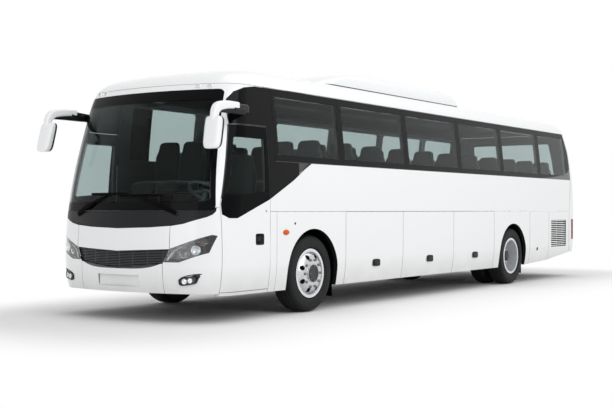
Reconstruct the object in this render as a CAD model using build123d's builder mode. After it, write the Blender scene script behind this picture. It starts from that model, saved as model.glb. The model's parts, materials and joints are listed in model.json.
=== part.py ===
"""A two-axle touring coach, 10.9 m long, with a driver's door on the left.

+X points forward, +Y to the left and +Z up. The origin is on the ground below the middle of
the body. Lengths are in millimetres. A station is a distance behind the front axle.
"""

import os
from math import hypot, sqrt

from build123d import *

os.makedirs("parts", exist_ok=True)

# Driving dimensions
WHEELBASE = 5970
FRONT_AXLE_X = 3372
TYRE_RADIUS = 470
SKIN = 55            # a whole wall or door, from outer sheet to inner trim
GLASS = 12           # bonded glass, flush with the skin
REBATE = 16          # depth of the step that the side glass sits in
GAP = 6              # shut line round what opens
SEAM = 4             # joint line between fixed panels
SKIRT_Z = 300
DOOR_HEAD_Z = 1215   # top of the luggage doors
BELT_Z = 1221        # bottom of the side walls
BAND_LOW_Z = 1803    # bottom of the side glass
BAND_HIGH_Z = 2645
GUTTER_Z = 2655      # where the roof starts
FLOOR_Z = 1175
FAR = 1500           # clear of either side of the body
LEFT, RIGHT = 1, -1
HALF = {LEFT: (0, FAR), RIGHT: (-FAR, 0)}
AHEAD, ASTERN = 1, -1
NOSE_BACK_S = -300   # the lofted nose and tail overlap the straight sides, to be cut
TAIL_BACK_S = 8350

# Body plan at each height: height, half width, nose station, tail station, and the corner
# radii at the nose and at the tail
BODY_SECTIONS = (
    (300, 1205, -2045, 8800, 460, 100),
    (450, 1229, -2080, 8815, 480, 100),
    (620, 1245, -2092, 8825, 490, 100),
    (1000, 1247.5, -2084, 8835, 500, 100),
    (1230, 1247.5, -2055, 8838, 500, 100),
    (1800, 1228.5, -1925, 8832, 470, 100),
    (2200, 1192, -1800, 8765, 420, 100),
    (2450, 1161, -1712, 8685, 370, 100),
    (2655, 1130, -1612, 8600, 350, 100),
)
ROOF_SECTIONS = (
    (2655, 1130, -1612, 8600, 350, 100),
    (2745, 1088, -1500, 8545, 350, 120),
    (2815, 1015, -1310, 8450, 350, 160),
    (2862, 905, -1070, 8290, 340, 200),
    (2897, 745, -740, 8010, 320, 240),
    (2922, 520, -330, 7550, 280, 260),
    (2938, 270, 150, 7000, 200, 200),
)
NOSE_RADIUS = 3000
TAIL_RADIUS = 12000
ROOF_DROP = 40       # the roof's thickness at its crown


def at(station):
    """X of a station behind the front axle."""
    return FRONT_AXLE_X - station


def plan_end(half, tip, corner, inset, way):
    """One end's bow and tangent corner arc, as points (on the bow, mid corner, on the side)."""
    bow = (NOSE_RADIUS if way == AHEAD else TAIL_RADIUS) - inset
    corner -= inset
    tip_x = at(tip) - way * inset
    y_c = half - inset - corner
    run = sqrt((bow - corner) ** 2 - y_c**2)
    x_c = tip_x - way * bow + way * run
    ux, uy = way * run / (bow - corner), y_c / (bow - corner)
    mid = hypot(ux, uy + 1)
    on_bow = (x_c + ux * corner, y_c + uy * corner)
    on_mid = (x_c + ux / mid * corner, y_c + (uy + 1) / mid * corner)
    return (tip_x, 0), on_bow, on_mid, (x_c, half - inset)


def across(point):
    """A plan point carried to the other side of the centre line."""
    return (point[0], -point[1])


def end_form(way, inset=0):
    """The lofted nose or tail of the body, moved in by inset and flat where the sides begin."""
    back = at(NOSE_BACK_S if way == AHEAD else TAIL_BACK_S)
    faces = []
    for i, (z, half, nose, tail, r_nose, r_tail) in enumerate(BODY_SECTIONS):
        tip, corner = (nose, r_nose) if way == AHEAD else (tail, r_tail)
        middle, on_bow, on_mid, on_side = plan_end(half, tip, corner, inset, way)
        overrun = (i == len(BODY_SECTIONS) - 1) - (i == 0) if inset else 0
        with BuildSketch(Plane.XY.offset(z + overrun)) as section:
            with BuildLine():
                ThreePointArc(across(on_bow), middle, on_bow)
                ThreePointArc(on_bow, on_mid, on_side)
                Line(on_side, (back, on_side[1]))
                Line((back, on_side[1]), (back, -on_side[1]))
                Line((back, -on_side[1]), across(on_side))
                ThreePointArc(across(on_side), across(on_mid), across(on_bow))
            make_face()
        faces.append(section.sketch.face())
    with BuildPart() as form:
        loft(sections=faces)
    return form.part


def roof_form(inset=0, drop=0):
    """The lofted roof, moved in by inset and lowered by drop."""
    faces = []
    for z, half, nose, tail, r_nose, r_tail in ROOF_SECTIONS:
        n_tip, n1, n2, n3 = plan_end(half, nose, r_nose, inset, AHEAD)
        t_tip, t1, t2, t3 = plan_end(half, tail, r_tail, inset, ASTERN)
        with BuildSketch(Plane.XY.offset(z - drop)) as section:
            with BuildLine():
                ThreePointArc(across(n1), n_tip, n1)
                ThreePointArc(n1, n2, n3)
                Line(n3, t3)
                ThreePointArc(t3, t2, t1)
                ThreePointArc(t1, t_tip, across(t1))
                ThreePointArc(across(t1), across(t2), across(t3))
                Line(across(t3), across(n3))
                ThreePointArc(across(n3), across(n2), across(n1))
            make_face()
        faces.append(section.sketch.face())
    with BuildPart() as form:
        loft(sections=faces)
    return form.part


def flank_band(near, far):
    """The straight stretch of the left side, between two insets from the outer skin."""
    low, tuck, knee, chest, belt, _, brow, _, gutter = ((row[1], row[0]) for row in BODY_SECTIONS)

    def moved(point, inset):
        return (point[0] - inset, point[1])

    with BuildSketch(Plane.YZ.offset(at(FLANK_END))) as profile:
        with BuildLine():
            ThreePointArc(moved(low, near), moved(tuck, near), moved(knee, near))
            Polyline(*(moved(p, near) for p in (knee, chest, belt)))
            ThreePointArc(moved(belt, near), moved(brow, near), moved(gutter, near))
            Line(moved(gutter, near), moved(gutter, far))
            ThreePointArc(moved(gutter, far), moved(brow, far), moved(belt, far))
            Polyline(*(moved(p, far) for p in (belt, chest, knee)))
            ThreePointArc(moved(knee, far), moved(tuck, far), moved(low, far))
            Line(moved(low, far), moved(low, near))
        make_face()
    with BuildPart() as band:
        extrude(profile.sketch, amount=FLANK_END - DOOR_REAR - GAP)
    return band.part


def side_region(points, y_range=(-FAR, FAR), radius=0):
    """What lies inside a side view outline of (station, height) points, between two Ys."""
    y_low, y_high = y_range
    with BuildSketch(Plane.XZ.offset(-y_high)) as outline:
        with BuildLine():
            Polyline(*[(at(s), z) for s, z in points], close=True)
        make_face()
        if radius:
            fillet(outline.vertices(), radius)
    with BuildPart() as region:
        extrude(outline.sketch, amount=y_high - y_low)
    return region.part


def side_box(s_low, s_high, z_low, z_high, y_range=(-FAR, FAR), radius=0):
    """A rectangle in side view between two stations and two heights."""
    points = ((s_low, z_low), (s_high, z_low), (s_high, z_high), (s_low, z_high))
    return side_region(points, y_range, radius)


def end_region(points, s_range, radius=0):
    """What lies inside a front view outline of (y, height) points, between two stations."""
    s_low, s_high = s_range
    with BuildSketch(Plane.YZ.offset(at(s_high))) as outline:
        with BuildLine():
            Polyline(*points, close=True)
        make_face()
        if radius:
            fillet(outline.vertices(), radius)
    with BuildPart() as region:
        extrude(outline.sketch, amount=s_high - s_low)
    return region.part


def end_box(y_low, y_high, z_low, z_high, s_range, radius=0):
    """A rectangle in front view, between two stations."""
    points = ((y_low, z_low), (y_high, z_low), (y_high, z_high), (y_low, z_high))
    return end_region(points, s_range, radius)


def block(s_low, s_high, y_low, y_high, z_low, z_high):
    """A plain box between stations, Ys and heights."""
    return end_box(y_low, y_high, z_low, z_high, (s_low, s_high))


def on_side(points, side):
    """Front view points, given for the left, carried to one side."""
    return [(side * y, z) for y, z in points]


def grown(points, by):
    """An outline whose points are moved away from its centre by about by."""
    u_c = sum(u for u, _ in points) / len(points)
    v_c = sum(v for _, v in points) / len(points)
    reach = [hypot(u - u_c, v - v_c) for u, v in points]
    return [
        (u_c + (u - u_c) * (1 + by / r), v_c + (v - v_c) * (1 + by / r))
        for (u, v), r in zip(points, reach)
    ]


def save(piece, name):
    """Label a finished piece and write it."""
    piece.part.label = name
    export_step(piece.part, f"parts/{name}.step")


def save_pair(piece, left_name, right_name):
    """Write a piece of the left side and its mirror image for the right."""
    save(piece, left_name)
    with BuildPart() as image:
        mirror(piece.part, about=Plane.XZ)
    save(image, right_name)


nose_outer = end_form(AHEAD)
nose_behind = end_form(AHEAD, GLASS + 1)
nose_inner = end_form(AHEAD, SKIN)
nose_shell = nose_outer - nose_inner
nose_glass = nose_outer - end_form(AHEAD, GLASS)
nose_rebate = nose_outer - nose_behind
nose_frame = nose_behind - nose_inner
tail_outer = end_form(ASTERN)
tail_shell = tail_outer - end_form(ASTERN, SKIN)
tail_glass = tail_outer - end_form(ASTERN, GLASS)
tail_rebate = tail_outer - end_form(ASTERN, GLASS + 1)

# Outlines of the front end, seen from ahead: (Y, height), given for the left half
NOSE = (-2300, -900)
WINDSCREEN = ((-1140, 1232), (1140, 1232), (1022, 2585), (-1022, 2585))
WINDSCREEN_LIP = ((-1085, 1275), (1085, 1275), (975, 2535), (-975, 2535))
WINDSCREEN_CORNER = 60
PANEL_EDGE = ((1142, 1228), (1120, 1192), (1080, 1165), (1010, 1141), (850, 1090), (450, 1050))
PANEL_MIDDLE = (0, 1037)
FLAP_TOP_CORNER = (704, 1064)
FLAP_LOW_CORNER = (710, 816)
GRILLE = ((694, 803), (0, 778), (-694, 803), (-624, 655), (0, 598), (624, 655))
HEADLAMP = ((706, 813), (633, 669), (820, 672), (1110, 775), (1165, 955), (1130, 966))
FOG_LAMP = ((811, 426), (1000, 466), (1035, 520), (1025, 548), (980, 535))
BUMPER_SEAM_Y = 620
BUMPER_LOW_Z = 325
FRONT_SPLIT_Z = 1266
PLATE_HALF, PLATE_LOW_Z, PLATE_HIGH_Z = 310, 390, 518
PLATE_FACE_S, REAR_PLATE_FACE_S = -2052, 8806

# Outlines of the sides: (station, height)
DOOR_FRONT_S, DOOR_REAR = -1700, -900
DOOR_LOW_Z, DOOR_BEND_Z, DOOR_HIGH_Z = 340, 1300, 2185
DOOR_TOP_S = -1505
DOOR_OUTLINE = [(DOOR_FRONT_S, DOOR_LOW_Z), (DOOR_REAR, DOOR_LOW_Z), (DOOR_REAR, DOOR_HIGH_Z)]
DOOR_OUTLINE += [(DOOR_TOP_S, DOOR_HIGH_Z), (DOOR_FRONT_S, DOOR_BEND_Z)]
ARCH_FRONT_END = -765
LUGGAGE_SEAMS = (718, 2191, 3734, 5180)
REAR_ARCH_END = 6638
SERVICE_END = 7505
ENGINE_SIDE_END = 8494
PANE_SEAMS = (-765, 660, 2347, 4004, 5551, 7132)
PANE_END = ((7600, 1823), (8210, 1876), (8470, 1935), (8560, 1990), (8575, 2060), (8545, 2300), (8412, 2645))
WALL_END = ((8500, BELT_Z), (8600, 1790), (8600, 2080), (8570, 2310), (8437, GUTTER_Z - SEAM))
FLANK_END = 8620
ARCH_RADIUS = 540
ARCH_CENTRES = (-6, WHEELBASE - 28)
SILL_GAP_Z = 334
SKIRT_RISE = ((6476, 300), (7429, 343), (8535, 458))


# Front end
with BuildPart() as windscreen:
    add(nose_glass)
    add(end_region(WINDSCREEN, NOSE, WINDSCREEN_CORNER), mode=Mode.INTERSECT)
save(windscreen, "windscreen")

quarter_line = [(DOOR_REAR + GAP, 1362), (-414, 1591), (-46, 1797), (ARCH_FRONT_END - GAP, 1797)]
quarter_line += [(ARCH_FRONT_END - GAP, BAND_HIGH_Z), (-1040, BAND_HIGH_Z), (-1240, 2615)]
quarter_line += [(-1380, 2560), (-1470, 2470), (DOOR_TOP_S + GAP, DOOR_HIGH_Z + 2 * GAP)]
quarter_line += [(DOOR_REAR + GAP, DOOR_HIGH_Z + 2 * GAP)]
quarter_rebate = nose_outer - end_form(AHEAD, REBATE)
lower_panel = [*PANEL_EDGE, PANEL_MIDDLE, *[(-y, z) for y, z in reversed(PANEL_EDGE)]]
ahead_of_doors = side_box(NOSE[0], DOOR_FRONT_S - GAP, SKIRT_Z, DOOR_BEND_Z)
with BuildPart() as wiper_panel:
    add(nose_shell & ahead_of_doors)
    add(end_region(lower_panel, NOSE), mode=Mode.INTERSECT)
save(wiper_panel, "wiper_panel")

head_side = [(-2300, FRONT_SPLIT_Z), (DOOR_FRONT_S - GAP, FRONT_SPLIT_Z)]
head_side += [(DOOR_FRONT_S - GAP, DOOR_BEND_Z), (DOOR_TOP_S - GAP, DOOR_HIGH_Z + GAP)]
head_side += [(DOOR_REAR, DOOR_HIGH_Z + GAP), (DOOR_REAR, GUTTER_Z - SEAM), (-2300, GUTTER_Z - SEAM)]
with BuildPart() as windscreen_frame:
    add(nose_shell)
    add(side_region(head_side), mode=Mode.INTERSECT)
    add(end_region(grown(WINDSCREEN, 5), NOSE, WINDSCREEN_CORNER) & nose_rebate, mode=Mode.SUBTRACT)
    add(end_region(WINDSCREEN_LIP, NOSE, WINDSCREEN_CORNER), mode=Mode.SUBTRACT)
    for side in (LEFT, RIGHT):
        add(side_region(quarter_line, HALF[side]) & quarter_rebate, mode=Mode.SUBTRACT)
save(windscreen_frame, "windscreen_frame")

with BuildPart() as front_flap:
    add(nose_shell)
    flap_top = [(450, 1046), (0, PANEL_MIDDLE[1] - SEAM), (-450, 1046)]
    flap = [(704, 812), FLAP_TOP_CORNER, *flap_top, (-704, 1064), (-704, 812), (0, 784)]
    add(end_region(flap, NOSE), mode=Mode.INTERSECT)
save(front_flap, "front_flap")

GRILLE_FACE_S = -2072
GRILLE_DEPTH = 34
SLAT_PITCH = 18
SLAT_THICK = 8
SLAT_COUNT = 11
GRILLE_FOOT_Z = 604
GRILLE_RIBS = (-600, -400, -200, 0, 200, 400, 600)
bow_x = at(GRILLE_FACE_S) - NOSE_RADIUS
with BuildPart() as grille:
    with BuildSketch(*[Plane.XY.offset(GRILLE_FOOT_Z + i * SLAT_PITCH) for i in range(SLAT_COUNT)]):
        with Locations((bow_x, 0)):
            Circle(NOSE_RADIUS)
            Circle(NOSE_RADIUS - GRILLE_DEPTH, mode=Mode.SUBTRACT)
        with Locations((at(-2000), 0)):
            Rectangle(700, 1388, mode=Mode.INTERSECT)
    extrude(amount=SLAT_THICK)
    rib_height = (SLAT_COUNT - 1) * SLAT_PITCH
    for y in GRILLE_RIBS:
        back = bow_x + sqrt((NOSE_RADIUS - GRILLE_DEPTH) ** 2 - y * y)
        with Locations((back + 2, y, GRILLE_FOOT_Z + SLAT_THICK / 2)):
            Box(14, 12, rib_height, align=(Align.MIN, Align.CENTER, Align.MIN))
    add(end_region(GRILLE, NOSE), mode=Mode.INTERSECT)
save(grille, "grille")

with BuildPart() as front_bumper:
    add(nose_shell)
    bumper = [(BUMPER_SEAM_Y, BUMPER_LOW_Z), (BUMPER_SEAM_Y, 651), (0, 593)]
    bumper += [(-BUMPER_SEAM_Y, 651), (-BUMPER_SEAM_Y, BUMPER_LOW_Z)]
    add(end_region(bumper, NOSE), mode=Mode.INTERSECT)
    plate_recess = end_box(-PLATE_HALF, PLATE_HALF, PLATE_LOW_Z, PLATE_HIGH_Z, (-2300, PLATE_FACE_S))
    add(plate_recess, mode=Mode.SUBTRACT)
save(front_bumper, "front_bumper")

corner_outline = [(BUMPER_SEAM_Y + SEAM, BUMPER_LOW_Z), (FAR, BUMPER_LOW_Z), (FAR, FRONT_SPLIT_Z - SEAM)]
corner_outline += [(1148, FRONT_SPLIT_Z - SEAM)] + [(y + 4, z - 4) for y, z in PANEL_EDGE[:5]]
corner_outline += [(708, 1062), FLAP_LOW_CORNER, (630, 665), (BUMPER_SEAM_Y + SEAM, 650)]
with BuildPart() as front_corners:
    add(nose_shell & ahead_of_doors)
    add(end_region(corner_outline, NOSE), mode=Mode.INTERSECT)
    add(end_region(grown(HEADLAMP, 4), NOSE), mode=Mode.SUBTRACT)
    add(end_region(grown(FOG_LAMP, 4), NOSE), mode=Mode.SUBTRACT)
    mirror(about=Plane.XZ)
save(front_corners, "front_corners")

# Reflectors in each headlamp: Y, height, radius at the mouth
REFLECTORS = ((745, 745, 50), (880, 750, 60), (1015, 805, 60), (1100, 890, 38))
REFLECTOR_DEPTH = 120
REFLECTOR_WIDENS = 4.4   # mouth of the cone that cuts each bowl, as a share of its throat
BOWL_BACK_S = -2040
CORNER_Y = 950           # outside this the lamp follows the body's corner backwards
CORNER_FALL = 0.55
lamp_frame = nose_frame & ahead_of_doors
with BuildPart() as front_lamps:
    add(lamp_frame & end_region(HEADLAMP, NOSE))
    for y, z, r in REFLECTORS:
        throat_s = BOWL_BACK_S + y * y / (2 * NOSE_RADIUS) + max(0, y - CORNER_Y) * CORNER_FALL
        throat = Plane.YZ.offset(at(throat_s)).location * Location((y, z))
        with Locations(throat * Location((0, 0, REFLECTOR_DEPTH / 2))):
            Cone(r / 2, r / 2 * REFLECTOR_WIDENS, REFLECTOR_DEPTH, mode=Mode.SUBTRACT)
    add(lamp_frame & end_region(FOG_LAMP, NOSE))
    mirror(about=Plane.XZ)
save(front_lamps, "front_lamps")

with BuildPart() as headlamp_lenses:
    add(nose_glass & ahead_of_doors)
    add(end_region(HEADLAMP, NOSE), mode=Mode.INTERSECT)
    mirror(about=Plane.XZ)
save(headlamp_lenses, "headlamp_lenses")

# Sides, built for the left and mirrored
wall_line = [(DOOR_REAR + GAP, GUTTER_Z - SEAM), (DOOR_REAR + GAP, BELT_Z), *WALL_END]
glass_line = [(ARCH_FRONT_END, BAND_LOW_Z), (7132, BAND_LOW_Z), *PANE_END]
glass_line += [(ARCH_FRONT_END, BAND_HIGH_Z)]
CLEAR_LOW_Z, CLEAR_HIGH_Z = 1880, 2555
POST_HALF = 75
left = HALF[LEFT]
flank_rebate = flank_band(0, REBATE)
with BuildPart() as side_walls:
    add(flank_band(0, SKIN))
    add(side_region(wall_line, left), mode=Mode.INTERSECT)
    add(side_region(grown(glass_line, 5), left) & flank_rebate, mode=Mode.SUBTRACT)
    add(side_region(quarter_line, left) & flank_rebate, mode=Mode.SUBTRACT)
    for s_low, s_high in zip(PANE_SEAMS, [*PANE_SEAMS[1:], 8400]):
        window = (s_low + POST_HALF, s_high - POST_HALF, CLEAR_LOW_Z, CLEAR_HIGH_Z)
        add(side_box(*window, left, 60), mode=Mode.SUBTRACT)
    mirror(about=Plane.XZ)
save(side_walls, "side_walls")

with BuildPart() as side_glass:
    add(flank_band(0, GLASS))
    add(side_region(glass_line, left), mode=Mode.INTERSECT)
    for seam in PANE_SEAMS[1:]:
        add(side_box(seam - 3, seam + 3, 1700, 2700, left), mode=Mode.SUBTRACT)
    add(nose_glass & side_region(quarter_line, left))
    mirror(about=Plane.XZ)
save(side_glass, "side_glass")

DOOR_WINDOW = ((-1640, 1400), (-1610, 1390), (-985, 1430), (-965, 1450), (-955, 2045), (-1475, 2050))
door_glass_line = [(-1690, 1190), (-1610, 1148), (-1500, 1148), (-906, 1358), (-906, 2179)]
door_glass_line += [(-1500, 2179), (-1694, 1300)]
DOOR_HANDLE = (-1168, -1020, 846, 967)
HANDLE_Y = 1222
HANDLE_CORNER = 14
with BuildPart() as front_door:
    add(nose_shell)
    add(side_region(DOOR_OUTLINE, left), mode=Mode.INTERSECT)
    add(side_region(grown(door_glass_line, 3), left) & nose_rebate, mode=Mode.SUBTRACT)
    add(side_region(DOOR_WINDOW, left), mode=Mode.SUBTRACT)
    add(side_box(*DOOR_HANDLE, (HANDLE_Y, FAR), HANDLE_CORNER), mode=Mode.SUBTRACT)
save_pair(front_door, "driver_door", "passenger_door")

with BuildPart() as door_glass:
    add(nose_glass)
    add(side_region(door_glass_line, left), mode=Mode.INTERSECT)
save_pair(door_glass, "driver_door_glass", "passenger_door_glass")


def rise_z(station):
    """Height of the skirt's bottom edge at a station."""
    (s1, z1), (s2, z2), (s3, z3) = SKIRT_RISE
    if station <= s1:
        return z1
    if station <= s2:
        return z1 + (z2 - z1) * (station - s1) / (s2 - s1)
    return z2 + (z3 - z2) * (station - s2) / (s3 - s2)


skirt_band = flank_band(0, SKIN)


def skirt_panel(s_low, s_high, z_high):
    """A stretch of the left skirt, its bottom edge rising towards the tail."""
    bends = [s for s, _ in SKIRT_RISE if s_low < s < s_high]
    points = [(s, rise_z(s)) for s in (s_low, *bends, s_high)]
    return skirt_band & side_region([*points, (s_high, z_high), (s_low, z_high)])


SKIRT_FIXED_HIGH_Z = BELT_Z - SEAM
with BuildPart() as skirts:
    add(nose_shell & side_box(DOOR_FRONT_S, DOOR_REAR, 290, SILL_GAP_Z, left))
    add(skirt_panel(DOOR_REAR + GAP, ARCH_FRONT_END - SEAM, SKIRT_FIXED_HIGH_Z))
    add(skirt_panel(ARCH_FRONT_END, LUGGAGE_SEAMS[0] - GAP, SKIRT_FIXED_HIGH_Z))
    add(skirt_panel(LUGGAGE_SEAMS[-1], REAR_ARCH_END - GAP, SKIRT_FIXED_HIGH_Z))
    for arch_s in ARCH_CENTRES:
        with Locations(Plane.XZ.location * Location((at(arch_s), TYRE_RADIUS))):
            Cylinder(ARCH_RADIUS, 4 * FAR, mode=Mode.SUBTRACT)
        add(side_box(arch_s - ARCH_RADIUS, arch_s + ARCH_RADIUS, 200, TYRE_RADIUS, left), mode=Mode.SUBTRACT)
    mirror(about=Plane.XZ)
save(skirts, "skirts")

PULL_HALF = 55
PULL_Z = (505, 590)
for number, (s_low, s_high) in enumerate(zip(LUGGAGE_SEAMS, LUGGAGE_SEAMS[1:]), start=1):
    with BuildPart() as luggage_door:
        add(skirt_panel(s_low, s_high - GAP, DOOR_HEAD_Z))
        middle = (s_low + s_high) / 2
        pull = (middle - PULL_HALF, middle + PULL_HALF, *PULL_Z)
        add(side_box(*pull, (HANDLE_Y, FAR), HANDLE_CORNER), mode=Mode.SUBTRACT)
    save_pair(luggage_door, f"luggage_door_left_{number}", f"luggage_door_right_{number}")

with BuildPart() as service_door:
    add(skirt_panel(REAR_ARCH_END, SERVICE_END - GAP, DOOR_HEAD_Z))
save_pair(service_door, "service_door_left", "service_door_right")

VENT = (7610, 8330, 575, 1055)
VENT_CORNER = 20
LOUVRE_Y = (1195, 1235)
LOUVRE_PITCH, LOUVRE_THICK = 34, 14
VENT_RIBS_S = (7700, 7970, 8240)
RIB_HALF, RIB_DEEP, BITE = 6, 10, 10
with BuildPart() as engine_side_door:
    add(skirt_panel(SERVICE_END, ENGINE_SIDE_END - GAP, DOOR_HEAD_Z))
    add(side_box(*VENT, left, VENT_CORNER), mode=Mode.SUBTRACT)
    for z in range(VENT[2] + 15, VENT[3] - 5, LOUVRE_PITCH):
        add(side_box(VENT[0] - BITE, VENT[1] + BITE, z, z + LOUVRE_THICK, LOUVRE_Y))
    for s in VENT_RIBS_S:
        rib_y = (LOUVRE_Y[0], LOUVRE_Y[0] + RIB_DEEP)
        add(side_box(s - RIB_HALF, s + RIB_HALF, VENT[2] - 5, VENT[3] + 5, rib_y))
save_pair(engine_side_door, "engine_side_door_left", "engine_side_door_right")

# Tail
TAIL = (8100, 9100)
LID_HALF, LID_LOW_Z = 900, 640
LID_SWING = 16
TAIL_SKIRT_Z = 455
LAMP_FRONT_S = 8600
REAR_PLATE_Z = (480, 600)
REAR_WINDOW = ((-900, 1830), (900, 1830), (840, 2540), (-840, 2540))
LAMP = ((1010, 690), (1300, 690), (1300, 1070), (1010, 1070))
rear_side = [(s + SEAM, z) for s, z in WALL_END]
rear_side += [(TAIL[1], GUTTER_Z - SEAM), (TAIL[1], BELT_Z)]
with BuildPart() as rear_wall:
    add(tail_shell)
    add(side_region(rear_side), mode=Mode.INTERSECT)
    add(end_region(grown(REAR_WINDOW, 5), TAIL) & tail_rebate, mode=Mode.SUBTRACT)
    add(end_region(grown(REAR_WINDOW, -50), TAIL), mode=Mode.SUBTRACT)
save(rear_wall, "rear_wall")

with BuildPart() as rear_window:
    add(tail_glass)
    add(end_region(REAR_WINDOW, TAIL), mode=Mode.INTERSECT)
save(rear_window, "rear_window")

with BuildPart() as engine_lid:
    add(tail_shell)
    add(end_box(-LID_HALF, LID_HALF, LID_LOW_Z, DOOR_HEAD_Z, TAIL), mode=Mode.INTERSECT)
save(engine_lid, "engine_lid")

with BuildPart() as rear_bumper:
    add(tail_shell)
    add(side_box(ENGINE_SIDE_END, TAIL[1], TAIL_SKIRT_Z, BELT_Z - SEAM), mode=Mode.INTERSECT)
    lid_gap = (-LID_HALF - GAP, LID_HALF + GAP, LID_LOW_Z - LID_SWING, 1300)
    add(end_box(*lid_gap, TAIL), mode=Mode.SUBTRACT)
    for side in (LEFT, RIGHT):
        add(end_region(on_side(LAMP, side), (LAMP_FRONT_S, TAIL[1])), mode=Mode.SUBTRACT)
    rear_plate = (-PLATE_HALF, PLATE_HALF, *REAR_PLATE_Z)
    add(end_box(*rear_plate, (REAR_PLATE_FACE_S, TAIL[1])), mode=Mode.SUBTRACT)
save(rear_bumper, "rear_bumper")

with BuildPart() as tail_lamps:
    add(tail_shell)
    add(end_region(grown(LAMP, -4), (LAMP_FRONT_S + GAP, TAIL[1])), mode=Mode.INTERSECT)
    mirror(about=Plane.XZ)
save(tail_lamps, "tail_lamps")

# Roof and its air conditioner
with BuildPart() as roof:
    add(roof_form())
    add(roof_form(SKIN, ROOF_DROP), mode=Mode.SUBTRACT)
save(roof, "roof")

# Air conditioner plan at each height: height, half width, front and rear stations
AC_SECTIONS = (
    (2870, 800, 830, 4960),
    (2960, 795, 1010, 4900),
    (3050, 770, 1350, 4780),
    (3112, 690, 1700, 4560),
)
AC_CORNER = 240
faces = []
for z, half_width, s_front, s_rear in AC_SECTIONS:
    with BuildSketch(Plane.XY.offset(z)) as section:
        with Locations((at((s_front + s_rear) / 2), 0)):
            RectangleRounded(s_rear - s_front, 2 * half_width, AC_CORNER)
    faces.append(section.sketch.face())
with BuildPart() as ac_unit:
    loft(sections=faces)
    add(roof_form(0, -1), mode=Mode.SUBTRACT)
save(ac_unit, "ac_unit")

# Underframe
BAY_ENDS = (640, 2182, 3725, 5290)
BAY_HALF = 1140
BAY_FLOOR_Z, BAY_FLOOR_TOP_Z = 316, 336
BULKHEAD = 20
FLOOR_HALF = 1185
FLOOR_THICK = 25
FLOOR_REAR_S = 8560
RISER_S = -575
CAB_FLOOR_Z = 760
SHEET = 10
STEP_S = (-1480, -905)
STEP_Y, STEP_IN_Y = 1130, -600
# Treads of the passengers' entrance: outer Y, inner Y, height, height of the next floor
TREADS = ((-STEP_Y, -850, 380, 560), (-860, STEP_IN_Y, 560, CAB_FLOOR_Z))
with BuildPart() as cabin_floor:
    add(block(RISER_S, FLOOR_REAR_S, -FLOOR_HALF, FLOOR_HALF, FLOOR_Z - FLOOR_THICK, FLOOR_Z))
    add(block(RISER_S, RISER_S + SHEET, -FLOOR_HALF, FLOOR_HALF, CAB_FLOOR_Z - FLOOR_THICK, FLOOR_Z))
    add(block(-1850, RISER_S, -850, 850, CAB_FLOOR_Z - FLOOR_THICK, CAB_FLOOR_Z))
    add(block(-1560, RISER_S, -1090, 1090, CAB_FLOOR_Z - FLOOR_THICK, CAB_FLOOR_Z))
    add(block(*STEP_S, -FLOOR_HALF, STEP_IN_Y, SKIRT_Z, CAB_FLOOR_Z), mode=Mode.SUBTRACT)
save(cabin_floor, "cabin_floor")

with BuildPart() as entrance_steps:
    for y_low, y_high, z, z_next in TREADS:
        add(block(*STEP_S, y_low, y_high, z - FLOOR_THICK, z))
        add(block(*STEP_S, y_high - SHEET, y_high, z - FLOOR_THICK, z_next))
        for s_low in (STEP_S[0] - SHEET, STEP_S[1]):
            add(block(s_low, s_low + SHEET, y_low, y_high, z - FLOOR_THICK, CAB_FLOOR_Z - FLOOR_THICK))
save(entrance_steps, "entrance_steps")

with BuildPart() as luggage_bays:
    add(block(BAY_ENDS[0], BAY_ENDS[-1] + BULKHEAD, -BAY_HALF, BAY_HALF, BAY_FLOOR_Z, BAY_FLOOR_TOP_Z))
    for bay_s in BAY_ENDS:
        wall = (-BAY_HALF, BAY_HALF, BAY_FLOOR_TOP_Z, FLOOR_Z - FLOOR_THICK)
        add(block(bay_s, bay_s + BULKHEAD, *wall))
save(luggage_bays, "luggage_bays")

RAIL_Y = (430, 500)
RAIL_Z = (600, 700)
with BuildPart() as chassis_rails:
    for s_low, s_high in ((-1850, BAY_ENDS[0]), (BAY_ENDS[-1] + BULKHEAD, 8600)):
        add(block(s_low, s_high, *RAIL_Y, *RAIL_Z))
    mirror(about=Plane.XZ)
save(chassis_rails, "chassis_rails")

with BuildPart() as engine:
    add(block(7250, 8480, -425, 425, 480, 1100))
save(engine, "engine")

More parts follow.
